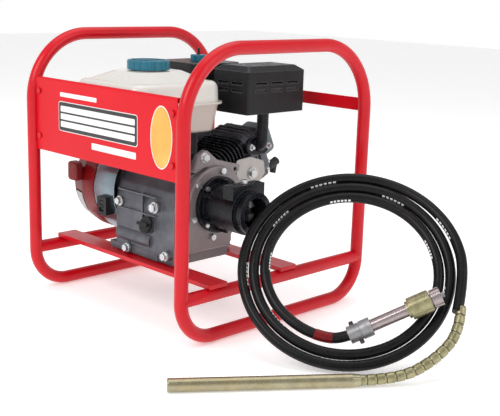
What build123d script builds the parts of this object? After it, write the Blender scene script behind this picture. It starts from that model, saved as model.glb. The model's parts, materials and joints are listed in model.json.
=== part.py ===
from build123d import *
from math import atan2, cos, degrees, pi, radians, sin, tan
import os

os.makedirs("parts", exist_ok=True)

# ---------------------------------------------------------------- frame
tube_d = 25.4
tube_wall = 1.8
hoop_x = 234.0
hoop_y = 242.0
hoop_h = 545.0
hoop_top_r = 130.0
hoop_foot_r = 75.0
cross_z = 91.0
rail_w = 45.0
rail_t = 8.0
rail_x0 = -240.0
rail_x1 = 246.0
rail_y = (-162.5, 20.5)
back_bar_h = 26.0
back_bar_t = 4.0
back_bar_z = 410.0
panel_t = 1.5
panel_z0 = 303.0
panel_z1 = 450.0
panel_roll_r = 5.0

# --------------------------------------------------------------- engine
crank_y = -68.0
crank_z = 227.0
case_x0 = -60.0
case_x1 = 118.0
case_wall = 7.0
pad_t = 3.0
cyl_tilt = 25.0
cyl_x = 29.0
bore_d = 68.0
deck_s = 58.0
head_s = 150.0
rocker_s = 198.0
rocker_end_s = 244.0
stroke = 54.0
shaft_d = 25.0
fit_gap = 0.05

# --------------------------------------------------------------- drive
cover_t = 16.0
mouth_x = 240.0
mouth_bore_d = 60.0
mouth_d = 80.0

# -------------------------------------------------------- flexible shaft
hose_d = 19.0
coil_turns = 2.79
coil_center = (429.5, -6.0, 155.0)
coil_heading = 53.0
coil_lean = 40.0
conduit_d = 19.0
poker_d = 23.0
poker_tail = (546.0, -121.0, 11.5)
poker_tip = (361.0, -368.0, 11.5)

tube_r = tube_d / 2
rail_top = cross_z + tube_r + rail_t + 0.3
base_z = rail_top + pad_t
cyl_dir = Vector(0, cos(radians(cyl_tilt)), sin(radians(cyl_tilt)))
cyl_up = Vector(0, -sin(radians(cyl_tilt)), cos(radians(cyl_tilt)))
crank_at = Vector(0, crank_y, crank_z)
crank_axis = Axis((0, crank_y, crank_z), (1, 0, 0))


def crank_plane(x):
    """Plane square to the crankshaft, facing the drive end."""
    return Plane(origin=(x, crank_y, crank_z), x_dir=(0, 1, 0), z_dir=(1, 0, 0))


def cyl_plane(s, x=cyl_x, up=0.0):
    """Plane square to the cylinder axis at distance s from the crankshaft."""
    spot = crank_at + cyl_dir * s + cyl_up * up + Vector(x, 0, 0)
    return Plane(origin=spot, x_dir=(1, 0, 0), z_dir=cyl_dir)


def front_plane(x, y, z):
    """Upright plane facing the front."""
    return Plane(origin=(x, y, z), x_dir=(1, 0, 0), z_dir=(0, -1, 0))


def save(part, name):
    part.label = name
    export_step(part, "parts/" + name + ".step")


# ================================================================ frame
def hoop_half(x, side):
    """Centre line of half a hoop, from the top middle to the foot middle."""
    top = hoop_h - tube_r
    y = side * hoop_y
    return [
        ((x, 0, top), (x, y - side * hoop_top_r, top)),
        ((x, y, top - hoop_top_r), (x, y, tube_r + hoop_foot_r)),
        ((x, y - side * hoop_foot_r, tube_r), (x, 0, tube_r)),
    ]


def hoop_line(x, side=1):
    """Edges of half a hoop inside the current line builder."""
    runs = hoop_half(x, side)
    top_run = Line(*runs[0])
    TangentArc(runs[0][1], runs[1][0], tangent=top_run % 1)
    side_run = Line(*runs[1])
    TangentArc(runs[1][1], runs[2][0], tangent=side_run % 1)
    Line(*runs[2])


with BuildPart() as hoop_starter_end:
    with BuildLine() as hoop_path_a:
        hoop_line(-hoop_x)
    with BuildSketch(Plane(origin=(-hoop_x, 0, hoop_h - tube_r), z_dir=(0, 1, 0))):
        Circle(tube_r)
        Circle(tube_r - tube_wall, mode=Mode.SUBTRACT)
    sweep(path=hoop_path_a.wire())
    mirror(about=Plane.XZ)
save(hoop_starter_end.part, "hoop_starter_end")

with BuildPart() as hoop_drive_end:
    with BuildLine() as hoop_path_b:
        hoop_line(hoop_x)
    with BuildSketch(Plane(origin=(hoop_x, 0, hoop_h - tube_r), z_dir=(0, 1, 0))):
        Circle(tube_r)
        Circle(tube_r - tube_wall, mode=Mode.SUBTRACT)
    sweep(path=hoop_path_b.wire())
    mirror(about=Plane.XZ)
save(hoop_drive_end.part, "hoop_drive_end")

# two flat engine rails lying on the cross tubes, slotted for the engine bolts
bolt_y = (-151.0, 11.0)
bolt_x = (-46.0, 56.0)
with BuildPart() as engine_rails:
    for y in rail_y:
        with Locations(((rail_x0 + rail_x1) / 2, y, rail_top - rail_t)):
            Box(rail_x1 - rail_x0, rail_w, rail_t, align=(Align.CENTER, Align.CENTER, Align.MIN))
    for y in bolt_y:
        with Locations(*[(x, y, rail_top - rail_t) for x in bolt_x]):
            Cylinder(4.5, 4 * rail_t, mode=Mode.SUBTRACT)
    fillet(engine_rails.edges().filter_by(Axis.Z).filter_by(lambda e: abs(e.length - rail_t) < 0.1
           and e.geom_type == GeomType.LINE), 3.0)
save(engine_rails.part, "engine_rails")

# name panel: flat sheet with a rolled top edge and a turned-in lower lip
panel_x0 = -hoop_x + tube_r + 0.4
panel_x1 = hoop_x - tube_r - 3.0
panel_y = -hoop_y
tab_z = (panel_z0 + 28, panel_z1 - 28)
with BuildPart() as sign_panel:
    with BuildSketch(Plane(origin=(panel_x0, panel_y, 0), x_dir=(0, 1, 0), z_dir=(1, 0, 0))):
        with Locations((0, (panel_z0 + panel_z1 - panel_roll_r) / 2)):
            Rectangle(panel_t, panel_z1 - panel_roll_r - panel_z0)
        with Locations((panel_roll_r - panel_t / 2, panel_z1 - panel_roll_r)):
            Circle(panel_roll_r)
        with Locations((panel_roll_r - panel_t / 2, panel_z1 - panel_roll_r)):
            Circle(panel_roll_r - panel_t, mode=Mode.SUBTRACT)
        with Locations((7.0, panel_z0 + panel_t / 2)):
            Rectangle(14.0 + panel_t, panel_t)
    extrude(amount=panel_x1 - panel_x0)
    for x in (panel_x0 + 12, panel_x1 - 12):
        with Locations(*[(x, panel_y, z) for z in tab_z]):
            Cylinder(3.2, 10, rotation=(90, 0, 0), mode=Mode.SUBTRACT)
save(sign_panel.part, "sign_panel")


# members welded between the hoops' posts: two low cross tubes with coped ends,
# the flat bar of the back posts and four tabs behind the panel corners
tab_t = 3.0
with BuildPart() as cross_members:
    for x in (-hoop_x, hoop_x):
        with BuildSketch(Plane(origin=(x, -hoop_y, cross_z), z_dir=(0, 1, 0))):
            Circle(tube_r)
            Circle(tube_r - tube_wall, mode=Mode.SUBTRACT)
        extrude(amount=2 * hoop_y)
    with Locations((0, hoop_y, back_bar_z)):
        Box(2 * hoop_x, back_bar_t, back_bar_h)
    for side in (-1, 1):
        x_post = side * (hoop_x - 8.0)
        x_screw = panel_x0 + 12 if side < 0 else panel_x1 - 12
        x_in = x_screw - side * 10
        for z in tab_z:
            with Locations(((x_post + x_in) / 2, panel_y + panel_t / 2 + tab_t / 2, z)):
                Box(abs(x_post - x_in), tab_t, 20)
            with Locations((x_screw, panel_y, z)):
                Cylinder(3.2, 20, rotation=(90, 0, 0), mode=Mode.SUBTRACT)
    for x in (-hoop_x, hoop_x):
        for side in (-1, 1):
            with BuildLine() as cope_line:
                hoop_line(x, side)
            with BuildSketch(Plane(origin=(x, 0, hoop_h - tube_r), z_dir=(0, side, 0))):
                Circle(tube_r)
            sweep(path=cope_line.wire(), mode=Mode.SUBTRACT)
save(cross_members.part, "cross_members")

with BuildPart() as panel_screws:
    for x in (panel_x0 + 12, panel_x1 - 12):
        for z in tab_z:
            with BuildSketch(Plane(origin=(x, panel_y - panel_t / 2, z), z_dir=(0, -1, 0))):
                Circle(6.0)
            extrude(amount=3.0)
            with BuildSketch(Plane(origin=(x, panel_y - panel_t / 2, z), z_dir=(0, 1, 0))):
                Circle(3.15)
            extrude(amount=panel_t + tab_t + 1.0)
            nut_y = panel_y + panel_t / 2 + tab_t
            with BuildSketch(Plane(origin=(x, nut_y, z), z_dir=(0, 1, 0))):
                RegularPolygon(5.8, 6)
            extrude(amount=5.0)
save(panel_screws.part, "panel_screws")

# rubber pads between the engine feet and the rails
with BuildPart() as rubber_pads:
    for y in bolt_y:
        with Locations(*[(x, y, rail_top) for x in bolt_x]):
            Box(30, 22, pad_t, align=(Align.CENTER, Align.CENTER, Align.MIN))
            Cylinder(4.5, 4 * pad_t, mode=Mode.SUBTRACT)
save(rubber_pads.part, "rubber_pads")

foot_t = 13.0
with BuildPart() as mount_bolts:
    for y in bolt_y:
        for x in bolt_x:
            with BuildSketch(Plane.XY.offset(base_z + foot_t)):
                with Locations((x, y)):
                    Circle(9.0)
            extrude(amount=1.6)
            with BuildSketch(Plane.XY.offset(base_z + foot_t + 1.6)):
                with Locations((x, y)):
                    RegularPolygon(7.5, 6)
            extrude(amount=5.5)
            with BuildSketch(Plane.XY.offset(rail_top - rail_t - 12)):
                with Locations((x, y)):
                    Circle(4.0)
            extrude(amount=12 + rail_t + pad_t + foot_t + 1.6)
            with BuildSketch(Plane.XY.offset(rail_top - rail_t - 8)):
                with Locations((x, y)):
                    RegularPolygon(7.5, 6)
            extrude(amount=8.0)
save(mount_bolts.part, "mount_bolts")

# ============================================================ crankcase
case_front = -163.0
deck_half = 56.0
deck_mid = crank_at + cyl_dir * deck_s
deck_top = deck_mid + cyl_up * deck_half
deck_low = deck_mid - cyl_up * deck_half
case_outline = [
    (case_front, base_z),
    (-24.0, base_z),
    (-20.0, base_z + 24),
    (deck_low.Y, deck_low.Z),
    (deck_top.Y, deck_top.Z),
    (-78.0, 303.0),
    (-124.0, 284.0),
    (-152.0, 254.0),
    (case_front, 218.0),
]
case_hollow = [
    (case_front + 13, base_z + 27),
    (-34.0, base_z + 27),
    (-29.0, base_z + 36),
    (deck_low.Y - 13, deck_low.Z + 4),
    (deck_top.Y - 5, deck_top.Z - 9),
    (-78.0, 295.0),
    (-116.0, 272.0),
    (-135.0, 243.0),
    (case_front + 13, 216.0),
]
drain_at = ((-17.0, 125.0), (106.0, 134.0))
stud_at = (-44.0, 215.0)
sensor_at = (70.0, 222.0)
filler_at = (47.0, 177.0)
with BuildPart() as crankcase:
    with BuildSketch(Plane(origin=(case_x0, 0, 0), x_dir=(0, 1, 0), z_dir=(1, 0, 0))):
        Polygon(*case_outline, align=None)
    extrude(amount=case_x1 - case_x0)
    fillet(crankcase.edges().filter_by(Axis.X).filter_by(
        lambda e: e.center().Z > base_z + 30 and e.center().Y < -70), 14.0)
    # rounded sump swelling along the front
    with BuildSketch(Plane(origin=(case_x0 + 6, case_front + 12, 150), x_dir=(0, 1, 0), z_dir=(1, 0, 0))):
        Circle(18.0)
    extrude(amount=104.0)
    # front and rear feet
    with Locations((-3.0, case_front + 13, base_z)):
        Box(150, 30, foot_t, align=(Align.CENTER, Align.CENTER, Align.MIN))
    with Locations((5.0, 0.0, base_z)):
        Box(130, 60, foot_t, align=(Align.CENTER, Align.CENTER, Align.MIN))
    # bosses on the front wall
    for spot, radius, reach in ((drain_at[0], 11.0, 6.0), (drain_at[1], 10.0, 10.0),
                                (stud_at, 9.0, 3.0), (sensor_at, 11.0, 7.0)):
        with BuildSketch(Plane(origin=(spot[0], case_front + 12, spot[1]), z_dir=(0, -1, 0))):
            Circle(radius)
        extrude(amount=12 + reach)
    with BuildSketch(Plane(origin=(filler_at[0], case_front + 16, filler_at[1] - 2), z_dir=(0, -1, 0.35))):
        Circle(15.0)
    extrude(amount=25.0)
    # stiffening ribs on the front wall
    for z in (203.0, 240.0):
        with Locations((10.0, case_front - 1, z)):
            Box(116, 8, 2.5)
    for x in (28.0,):
        with Locations((x, case_front - 1, 214)):
            Box(2.5, 8, 60)
    # hollow for the crankshaft and the oil, open at the drive end
    with BuildSketch(Plane(origin=(case_x0 + case_wall, 0, 0), x_dir=(0, 1, 0), z_dir=(1, 0, 0))):
        Polygon(*case_hollow, align=None)
    extrude(amount=case_x1 - case_x0, mode=Mode.SUBTRACT)
    # bore through the deck
    with BuildSketch(cyl_plane(deck_s - 40)):
        Circle(bore_d / 2 + 4.2)
    extrude(amount=60, mode=Mode.SUBTRACT)
    # main bearing seat in the starter-side wall
    with BuildSketch(crank_plane(case_x0 - 1)):
        Circle(26.0)
    extrude(amount=case_wall + 9, mode=Mode.SUBTRACT)
    # threaded holes
    for spot, radius in ((drain_at[0], 5.0), (drain_at[1], 5.0), (stud_at, 4.0), (sensor_at, 5.0)):
        with BuildSketch(Plane(origin=(spot[0], case_front - 20, spot[1]), z_dir=(0, 1, 0))):
            Circle(radius)
        extrude(amount=45, mode=Mode.SUBTRACT)
    with BuildSketch(Plane(origin=(filler_at[0], case_front + 32, filler_at[1] - 7.6), z_dir=(0, -1, 0.35))):
        Circle(10.2)
    extrude(amount=60.0, mode=Mode.SUBTRACT)
    for y in bolt_y:
        with Locations(*[(x, y, base_z) for x in bolt_x]):
            Cylinder(4.5, 40, mode=Mode.SUBTRACT)
    for y in bolt_y:
        with Locations(*[(x, y, base_z + foot_t) for x in bolt_x]):
            Cylinder(9.6, 12, align=(Align.CENTER, Align.CENTER, Align.MIN), mode=Mode.SUBTRACT)
save(crankcase.part, "crankcase")

filler_plane = Plane(origin=(filler_at[0], case_front + 16, filler_at[1] - 2), z_dir=(0, -1, 0.35)).offset(24.0)
with BuildPart() as oil_dipstick:
    with BuildSketch(filler_plane.offset(1.6)):
        Circle(16.5)
    extrude(amount=5.0)
    with BuildSketch(filler_plane.offset(6.6)):
        RectangleRounded(7, 30, 3.0)
    extrude(amount=9.0)
    with BuildSketch(filler_plane.offset(1.6)):
        Circle(10.15)
    extrude(amount=-10.0)
    with BuildSketch(filler_plane.offset(1.6)):
        Circle(2.5)
    extrude(amount=-60.0)
save(oil_dipstick.part, "oil_dipstick")

# ----------------------------------------------------- drive-side cover
cover_r = 73.0
cover_bolt_r = 65.0
with BuildPart() as side_cover:
    with BuildSketch(crank_plane(case_x1)):
        Circle(cover_r)
        with Locations((-21, -44.5)):
            Rectangle(126, 89)
    extrude(amount=cover_t)
    fillet(side_cover.edges().filter_by(Axis.X).group_by(Axis.Z)[0], 14.0)
    chamfer(side_cover.faces().sort_by(Axis.X)[-1].edges(), 2.5)
    with BuildSketch(crank_plane(case_x1 - 1)):
        Circle(26.0)
    extrude(amount=10.0, mode=Mode.SUBTRACT)
    with BuildSketch(crank_plane(case_x1 - 1)):
        Circle(shaft_d / 2 + 1.5)
    extrude(amount=40.0, mode=Mode.SUBTRACT)
    with BuildSketch(crank_plane(case_x1 - 1)):
        with PolarLocations(cover_bolt_r, 6, start_angle=20):
            Circle(3.6)
    extrude(amount=40.0, mode=Mode.SUBTRACT)
save(side_cover.part, "side_cover")

# main bearings: outer rings pressed into the case and the cover
with BuildPart() as main_bearings:
    with BuildSketch(crank_plane(case_x0 - 1)):
        Circle(26.0)
        Circle(shaft_d / 2 + fit_gap, mode=Mode.SUBTRACT)
    extrude(amount=14.0)
    with BuildSketch(crank_plane(case_x1 - 6)):
        Circle(26.0)
        Circle(shaft_d / 2 + fit_gap, mode=Mode.SUBTRACT)
    extrude(amount=15.0)
save(main_bearings.part, "main_bearings")

# ============================================================ rotating
fly_x0 = -124.0
fly_x1 = -70.0
fly_r = 82.0
web_r = 42.0
pin_reach = stroke / 2
with BuildPart() as crankshaft:
    with BuildSketch(crank_plane(-150)):
        Circle(shaft_d / 2)
    extrude(amount=150 + cyl_x - 12)
    with BuildSketch(crank_plane(cyl_x + 12)):
        Circle(shaft_d / 2)
    extrude(amount=178 - cyl_x - 12)
    for x in (cyl_x - 28, cyl_x + 12):
        with BuildSketch(crank_plane(x)):
            Circle(web_r)
            with Locations((0, 44)):
                Rectangle(120, 24, mode=Mode.SUBTRACT)
        extrude(amount=16.0)
    with BuildSketch(crank_plane(cyl_x - 13)):
        with Locations((0, pin_reach - 8)):
            Circle(12.0)
    extrude(amount=26.0)
save(crankshaft.part, "crankshaft")

with BuildPart() as flywheel:
    with BuildSketch(crank_plane(fly_x0 + 12)):
        Circle(fly_r)
    extrude(amount=fly_x1 - fly_x0 - 12)
    with BuildSketch(crank_plane(fly_x0)):
        with PolarLocations(fly_r - 14, 20):
            Rectangle(22, 2.4, rotation=18)
    extrude(amount=13.0)
    with BuildSketch(crank_plane(fly_x1)):
        Circle(fly_r - 12)
        Circle(26, mode=Mode.SUBTRACT)
    extrude(amount=-22.0, mode=Mode.SUBTRACT)
    with BuildSketch(crank_plane(fly_x0 - 1)):
        Circle(shaft_d / 2)
    extrude(amount=80.0, mode=Mode.SUBTRACT)
    # starter cup bolted on the face
    with BuildSketch(crank_plane(fly_x0 + 12)):
        Circle(34.0)
        Circle(shaft_d / 2, mode=Mode.SUBTRACT)
    extrude(amount=-3.0)
    with BuildSketch(crank_plane(fly_x0 + 9)):
        Circle(34.0)
        Circle(31.5, mode=Mode.SUBTRACT)
    extrude(amount=-24.0)
    with BuildSketch(crank_plane(fly_x0 + 9)):
        Circle(19.0)
        Circle(shaft_d / 2, mode=Mode.SUBTRACT)
    extrude(amount=-14.0)
save(flywheel.part, "flywheel")

# ======================================================= fan and recoil
fan_x0 = -130.0
fan_x1 = case_x0 - 0.5
fan_r = 102.0
fan_t = 2.0


def fan_outline(grow):
    """Blower housing outline: drum with a duct turned to the cylinder."""
    Circle(fan_r + grow)
    with Locations((62 + grow / 2, 20)):
        Rectangle(124 + grow, 150 + 2 * grow)


with BuildPart() as fan_housing:
    with BuildSketch(crank_plane(fan_x0)):
        fan_outline(0)
    extrude(amount=fan_x1 - fan_x0)
    fillet(fan_housing.edges().filter_by(Axis.X).filter_by(lambda e: e.center().Y > 40), 16.0)
    fillet(fan_housing.faces().sort_by(Axis.X)[0].edges(), 6.0)
    with BuildSketch(crank_plane(fan_x0 + fan_t)):
        fan_outline(-fan_t)
    extrude(amount=fan_x1 - fan_x0, mode=Mode.SUBTRACT)
    with BuildSketch(crank_plane(fan_x0 - 1)):
        Circle(72.0)
    extrude(amount=10.0, mode=Mode.SUBTRACT)
save(fan_housing.part, "fan_housing")

recoil_x0 = -228.0
recoil_r = 101.0
recoil_t = 2.2
recoil_profile = [(fan_x0, 0), (fan_x0, recoil_r), (-172, recoil_r - 1), (-209, 92), (recoil_x0, 66), (recoil_x0, 0)]
recoil_hollow = [
    (fan_x0 + 1, 0),
    (fan_x0 + 1, recoil_r - recoil_t),
    (-171, recoil_r - 1 - recoil_t),
    (-207, 92 - recoil_t),
    (recoil_x0 + recoil_t, 66 - recoil_t),
    (recoil_x0 + recoil_t, 0),
]
grip_at = (-184.0, 28.0)
with BuildPart() as recoil_cover:
    with BuildSketch(Plane(origin=(0, crank_y, crank_z), x_dir=(1, 0, 0), z_dir=(0, -1, 0))):
        Polygon(*recoil_profile, align=None)
        Polygon(*recoil_hollow, align=None, mode=Mode.SUBTRACT)
    revolve(axis=crank_axis)
    # cooling slots around the outer face
    with BuildSketch(crank_plane(recoil_x0 - 5)):
        with PolarLocations(38, 12, start_angle=15):
            SlotOverall(26, 7)
    extrude(amount=12, mode=Mode.SUBTRACT)
    with BuildSketch(Plane(origin=(-186, crank_y, crank_z), x_dir=(0, 1, 0), z_dir=(1, 0, 0)).offset(-20)):
        with PolarLocations(94, 16, start_angle=11):
            Rectangle(30, 6)
    extrude(amount=30, mode=Mode.SUBTRACT)
    # rope eye on the front
    with BuildSketch(front_plane(grip_at[0], -120, crank_z + grip_at[1])):
        Circle(9.0)
    extrude(amount=44.0)
    with BuildSketch(front_plane(grip_at[0], -110, crank_z + grip_at[1])):
        Circle(3.4)
    extrude(amount=80.0, mode=Mode.SUBTRACT)
    # centre post that carries the rope reel
    with BuildSketch(crank_plane(recoil_x0 + recoil_t - 0.5)):
        Circle(8.0)
    extrude(amount=60.0)
save(recoil_cover.part, "recoil_cover")

with BuildPart() as rope_reel:
    with BuildSketch(crank_plane(-196)):
        Circle(54.0)
    extrude(amount=3.0)
    with BuildSketch(crank_plane(-193)):
        Circle(40.0)
    extrude(amount=14.0)
    with BuildSketch(crank_plane(-179)):
        Circle(54.0)
    extrude(amount=3.0)
    with BuildSketch(crank_plane(-200)):
        Circle(8.0 + fit_gap)
    extrude(amount=40.0, mode=Mode.SUBTRACT)
save(rope_reel.part, "rope_reel")

grip_y = -165.0
with BuildPart() as starter_grip:
    with BuildSketch(front_plane(grip_at[0], grip_y, crank_z + grip_at[1])):
        Circle(7.5)
    extrude(amount=12.0)
    with BuildSketch(front_plane(grip_at[0], grip_y - 4, crank_z + grip_at[1])):
        RectangleRounded(30, 40, 8)
    extrude(amount=17.0)
    fillet(starter_grip.faces().sort_by(Axis.Y)[0].edges(), 5.0)
    with BuildSketch(Plane(origin=(grip_at[0], grip_y + 1, crank_z + grip_at[1]), z_dir=(0, 1, 0))):
        Circle(2.5)
    extrude(amount=18.0)
    with BuildSketch(Plane(origin=(grip_at[0], grip_y, crank_z + grip_at[1]), z_dir=(0, 1, 0))):
        Circle(2.5)
    extrude(amount=2.0)
save(starter_grip.part, "starter_grip")

# ============================================================= cylinder
fin_gap = 9.0
with BuildPart() as cylinder:
    with BuildSketch(cyl_plane(deck_s)):
        Circle(bore_d / 2 + 7)
    extrude(amount=head_s - deck_s)
    with BuildSketch(cyl_plane(deck_s)):
        RectangleRounded(112, 106, 10)
    extrude(amount=8.0)
    for k in range(8):
        with BuildSketch(cyl_plane(deck_s + 14 + k * fin_gap)):
            RectangleRounded(116, 108, 22)
        extrude(amount=2.4)
    with BuildSketch(cyl_plane(head_s - 7)):
        RectangleRounded(104, 98, 14)
    extrude(amount=7.0)
    with BuildSketch(cyl_plane(deck_s - 12)):
        Circle(bore_d / 2 + 3.8)
    extrude(amount=12.0)
    with BuildSketch(cyl_plane(deck_s - 14)):
        Circle(bore_d / 2)
    extrude(amount=120, mode=Mode.SUBTRACT)
save(cylinder.part, "cylinder")

crown_s = head_s - 12.0
with BuildPart() as piston:
    with BuildSketch(cyl_plane(crown_s - 46)):
        Circle(bore_d / 2 - fit_gap)
    extrude(amount=46.0)
    for k in range(3):
        with BuildSketch(cyl_plane(crown_s - 7 - k * 6)):
            Circle(bore_d / 2 + 1)
            Circle(bore_d / 2 - 2.5, mode=Mode.SUBTRACT)
        extrude(amount=1.6, mode=Mode.SUBTRACT)
    with BuildSketch(cyl_plane(crown_s - 47)):
        Circle(bore_d / 2 - 5)
    extrude(amount=39.0, mode=Mode.SUBTRACT)
    with BuildSketch(Plane(origin=cyl_plane(crown_s - 31).origin - Vector(60, 0, 0), z_dir=(1, 0, 0))):
        Circle(9.0)
    extrude(amount=120, mode=Mode.SUBTRACT)
    with BuildSketch(Plane(origin=cyl_plane(crown_s - 31).origin - Vector(32, 0, 0), z_dir=(1, 0, 0))):
        Circle(9.0)
        Circle(5.5, mode=Mode.SUBTRACT)
    extrude(amount=64.0)
save(piston.part, "piston")

port_up = 22.0
port_face = 58.0
with BuildPart() as cylinder_head:
    with BuildSketch(cyl_plane(head_s)):
        RectangleRounded(104, 98, 14)
    extrude(amount=rocker_s - head_s)
    for k in range(3):
        with BuildSketch(cyl_plane(head_s + 9 + k * 10)):
            RectangleRounded(112, 108, 16)
            RectangleRounded(84, 80, 10, mode=Mode.SUBTRACT)
        extrude(amount=2.6)
    # combustion chamber and rocker pocket
    with BuildSketch(cyl_plane(head_s - 1)):
        Circle(bore_d / 2 - 3)
    extrude(amount=9.0, mode=Mode.SUBTRACT)
    with BuildSketch(cyl_plane(rocker_s + 1)):
        RectangleRounded(62, 60, 8)
    extrude(amount=-16.0, mode=Mode.SUBTRACT)
    # exhaust port on the drive side, inlet port on the starter side
    for side in (-1, 1):
        spot = cyl_plane(head_s + 24, cyl_x + side * 50, port_up).origin
        with BuildSketch(Plane(origin=spot, x_dir=cyl_dir, z_dir=(side, 0, 0))):
            RectangleRounded(42, 42, 8)
        extrude(amount=port_face - 50)
        with BuildSketch(Plane(origin=spot, x_dir=(0, 1, 0), z_dir=(side, 0, 0))):
            Circle(12.5)
        extrude(amount=20.0, mode=Mode.SUBTRACT)
    # spark plug seat below the rocker cover
    with BuildSketch(cyl_plane(rocker_s, cyl_x + 30, -56)):
        Circle(12.0)
    extrude(amount=-30.0)
    with BuildSketch(cyl_plane(rocker_s + 1, cyl_x + 30, -56)):
        Circle(6.0)
    extrude(amount=-26.0, mode=Mode.SUBTRACT)
save(cylinder_head.part, "cylinder_head")

with BuildPart() as rocker_cover:
    with BuildSketch(cyl_plane(rocker_s)):
        RectangleRounded(92, 88, 12)
    extrude(amount=6.0)
    with BuildSketch(cyl_plane(rocker_s)):
        RectangleRounded(70, 66, 16)
    extrude(amount=rocker_end_s - rocker_s)
    fillet(rocker_cover.faces().sort_by(Axis((0, 0, 0), cyl_dir))[-1].edges(), 8.0)
    with BuildSketch(cyl_plane(rocker_s)):
        RectangleRounded(62, 58, 12)
    extrude(amount=rocker_end_s - rocker_s - 3, mode=Mode.SUBTRACT)
save(rocker_cover.part, "rocker_cover")

plug_plane = cyl_plane(rocker_s, cyl_x + 30, -56)
with BuildPart() as spark_plug:
    with BuildSketch(plug_plane.offset(0)):
        RegularPolygon(9.0, 6)
    extrude(amount=9.0)
    with BuildSketch(plug_plane.offset(0)):
        Circle(5.95)
    extrude(amount=-20.0)
    with BuildSketch(plug_plane.offset(9)):
        Circle(5.0)
    extrude(amount=22.0)
save(spark_plug.part, "spark_plug")

with BuildPart() as plug_cap:
    with BuildSketch(plug_plane.offset(12)):
        Circle(9.0)
        Circle(5.1, mode=Mode.SUBTRACT)
    extrude(amount=22.0)
    with BuildSketch(plug_plane.offset(32)):
        Circle(9.0)
    extrude(amount=8.0)
    with BuildSketch(Plane(origin=plug_plane.offset(34).origin, z_dir=(0, -0.2, -1))):
        Circle(6.5)
    extrude(amount=24.0)
    with BuildSketch(plug_plane.offset(12)):
        Circle(5.1)
    extrude(amount=19.5, mode=Mode.SUBTRACT)
save(plug_cap.part, "plug_cap")

# ------------------------------------------------ casting on the drive side
with BuildPart() as lift_bracket:
    with BuildSketch(Plane(origin=(case_x1 - 8, 0, 0), x_dir=(0, 1, 0), z_dir=(1, 0, 0))):
        Polygon((-120, 288), (-108, 322), (-88, 332), (-62, 312), (-26, 302), (0, 296), (-2, 284),
                (-22, 274), (-34, 286), (-62, 296), (-92, 300), align=None)
    extrude(amount=14.0)
    fillet(lift_bracket.edges().filter_by(Axis.X), 3.0)
    with BuildSketch(Plane(origin=(case_x1 - 20, 0, 0), x_dir=(0, 1, 0), z_dir=(1, 0, 0))):
        with Locations((-95, 319), (-13, 288)):
            Circle(4.2)
    extrude(amount=40.0, mode=Mode.SUBTRACT)
    with BuildSketch(Plane(origin=(case_x1 - 8.5, 0, 0), x_dir=(0, 1, 0), z_dir=(1, 0, 0))):
        Polygon(*case_outline, align=None)
    extrude(amount=8.5, mode=Mode.SUBTRACT)
    with BuildSketch(crank_plane(case_x1)):
        Circle(cover_r + 0.05)
    extrude(amount=20, mode=Mode.SUBTRACT)
save(lift_bracket.part, "lift_bracket")

# lower air guide beside the cylinder, with its large shoulder bolt
guide_x = cyl_x + 60.0
with BuildPart() as air_guide:
    with BuildSketch(Plane(origin=(guide_x, 0, 0), x_dir=(0, 1, 0), z_dir=(1, 0, 0))):
        Polygon((22, 296), (62, 300), (100, 288), (104, 262), (84, 240), (44, 232), (24, 250), align=None)
    extrude(amount=3.0)
    fillet(air_guide.edges().filter_by(Axis.X), 8.0)
    with BuildSketch(Plane(origin=(guide_x, 66, 266), z_dir=(-1, 0, 0))):
        Circle(9.0)
    extrude(amount=34.0)
    with BuildSketch(Plane(origin=(guide_x + 4, 66, 266), z_dir=(-1, 0, 0))):
        Circle(5.0)
    extrude(amount=20.0, mode=Mode.SUBTRACT)
    with BuildSketch(cyl_plane(deck_s)):
        RectangleRounded(116.1, 108.1, 22)
    extrude(amount=head_s - deck_s, mode=Mode.SUBTRACT)
save(air_guide.part, "air_guide")

# =============================================================== intake
air_x0 = -148.0
air_x1 = -14.0
air_y0 = 2.0
air_y1 = 134.0
air_z0 = 400.0
air_lid_z = 470.0
air_mid = ((air_x0 + air_x1) / 2, (air_y0 + air_y1) / 2)
with BuildPart() as air_cleaner_base:
    with BuildSketch(Plane.XY.offset(air_z0)):
        with Locations(air_mid):
            RectangleRounded(air_x1 - air_x0 - 12, air_y1 - air_y0 - 12, 16)
    extrude(amount=air_lid_z - air_z0)
    with BuildSketch(Plane.XY.offset(air_z0 + 3)):
        with Locations(air_mid):
            RectangleRounded(air_x1 - air_x0 - 18, air_y1 - air_y0 - 18, 13)
    extrude(amount=air_lid_z - air_z0, mode=Mode.SUBTRACT)
    with BuildSketch(Plane.XY.offset(air_z0 + 2)):
        with Locations(air_mid):
            Circle(6.0)
    extrude(amount=air_lid_z - air_z0 - 2)
    with BuildSketch(Plane.XY.offset(air_z0 - 1)):
        with Locations((-52, 100)):
            Circle(13.0)
    extrude(amount=6.0, mode=Mode.SUBTRACT)
    with BuildSketch(Plane.XY.offset(air_z0 + 40)):
        with Locations(air_mid):
            Circle(3.0)
    extrude(amount=60.0, mode=Mode.SUBTRACT)
    with BuildSketch(Plane.XY.offset(air_z0 + 30)):
        with Locations(air_mid):
            Circle(2.95)
    extrude(amount=78.0)
save(air_cleaner_base.part, "air_cleaner_base")

with BuildPart() as filter_element:
    with BuildSketch(Plane.XY.offset(air_z0 + 3)):
        with Locations(air_mid):
            RectangleRounded(100, 98, 14)
            RectangleRounded(78, 76, 10, mode=Mode.SUBTRACT)
    extrude(amount=60.0)
save(filter_element.part, "filter_element")

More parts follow.
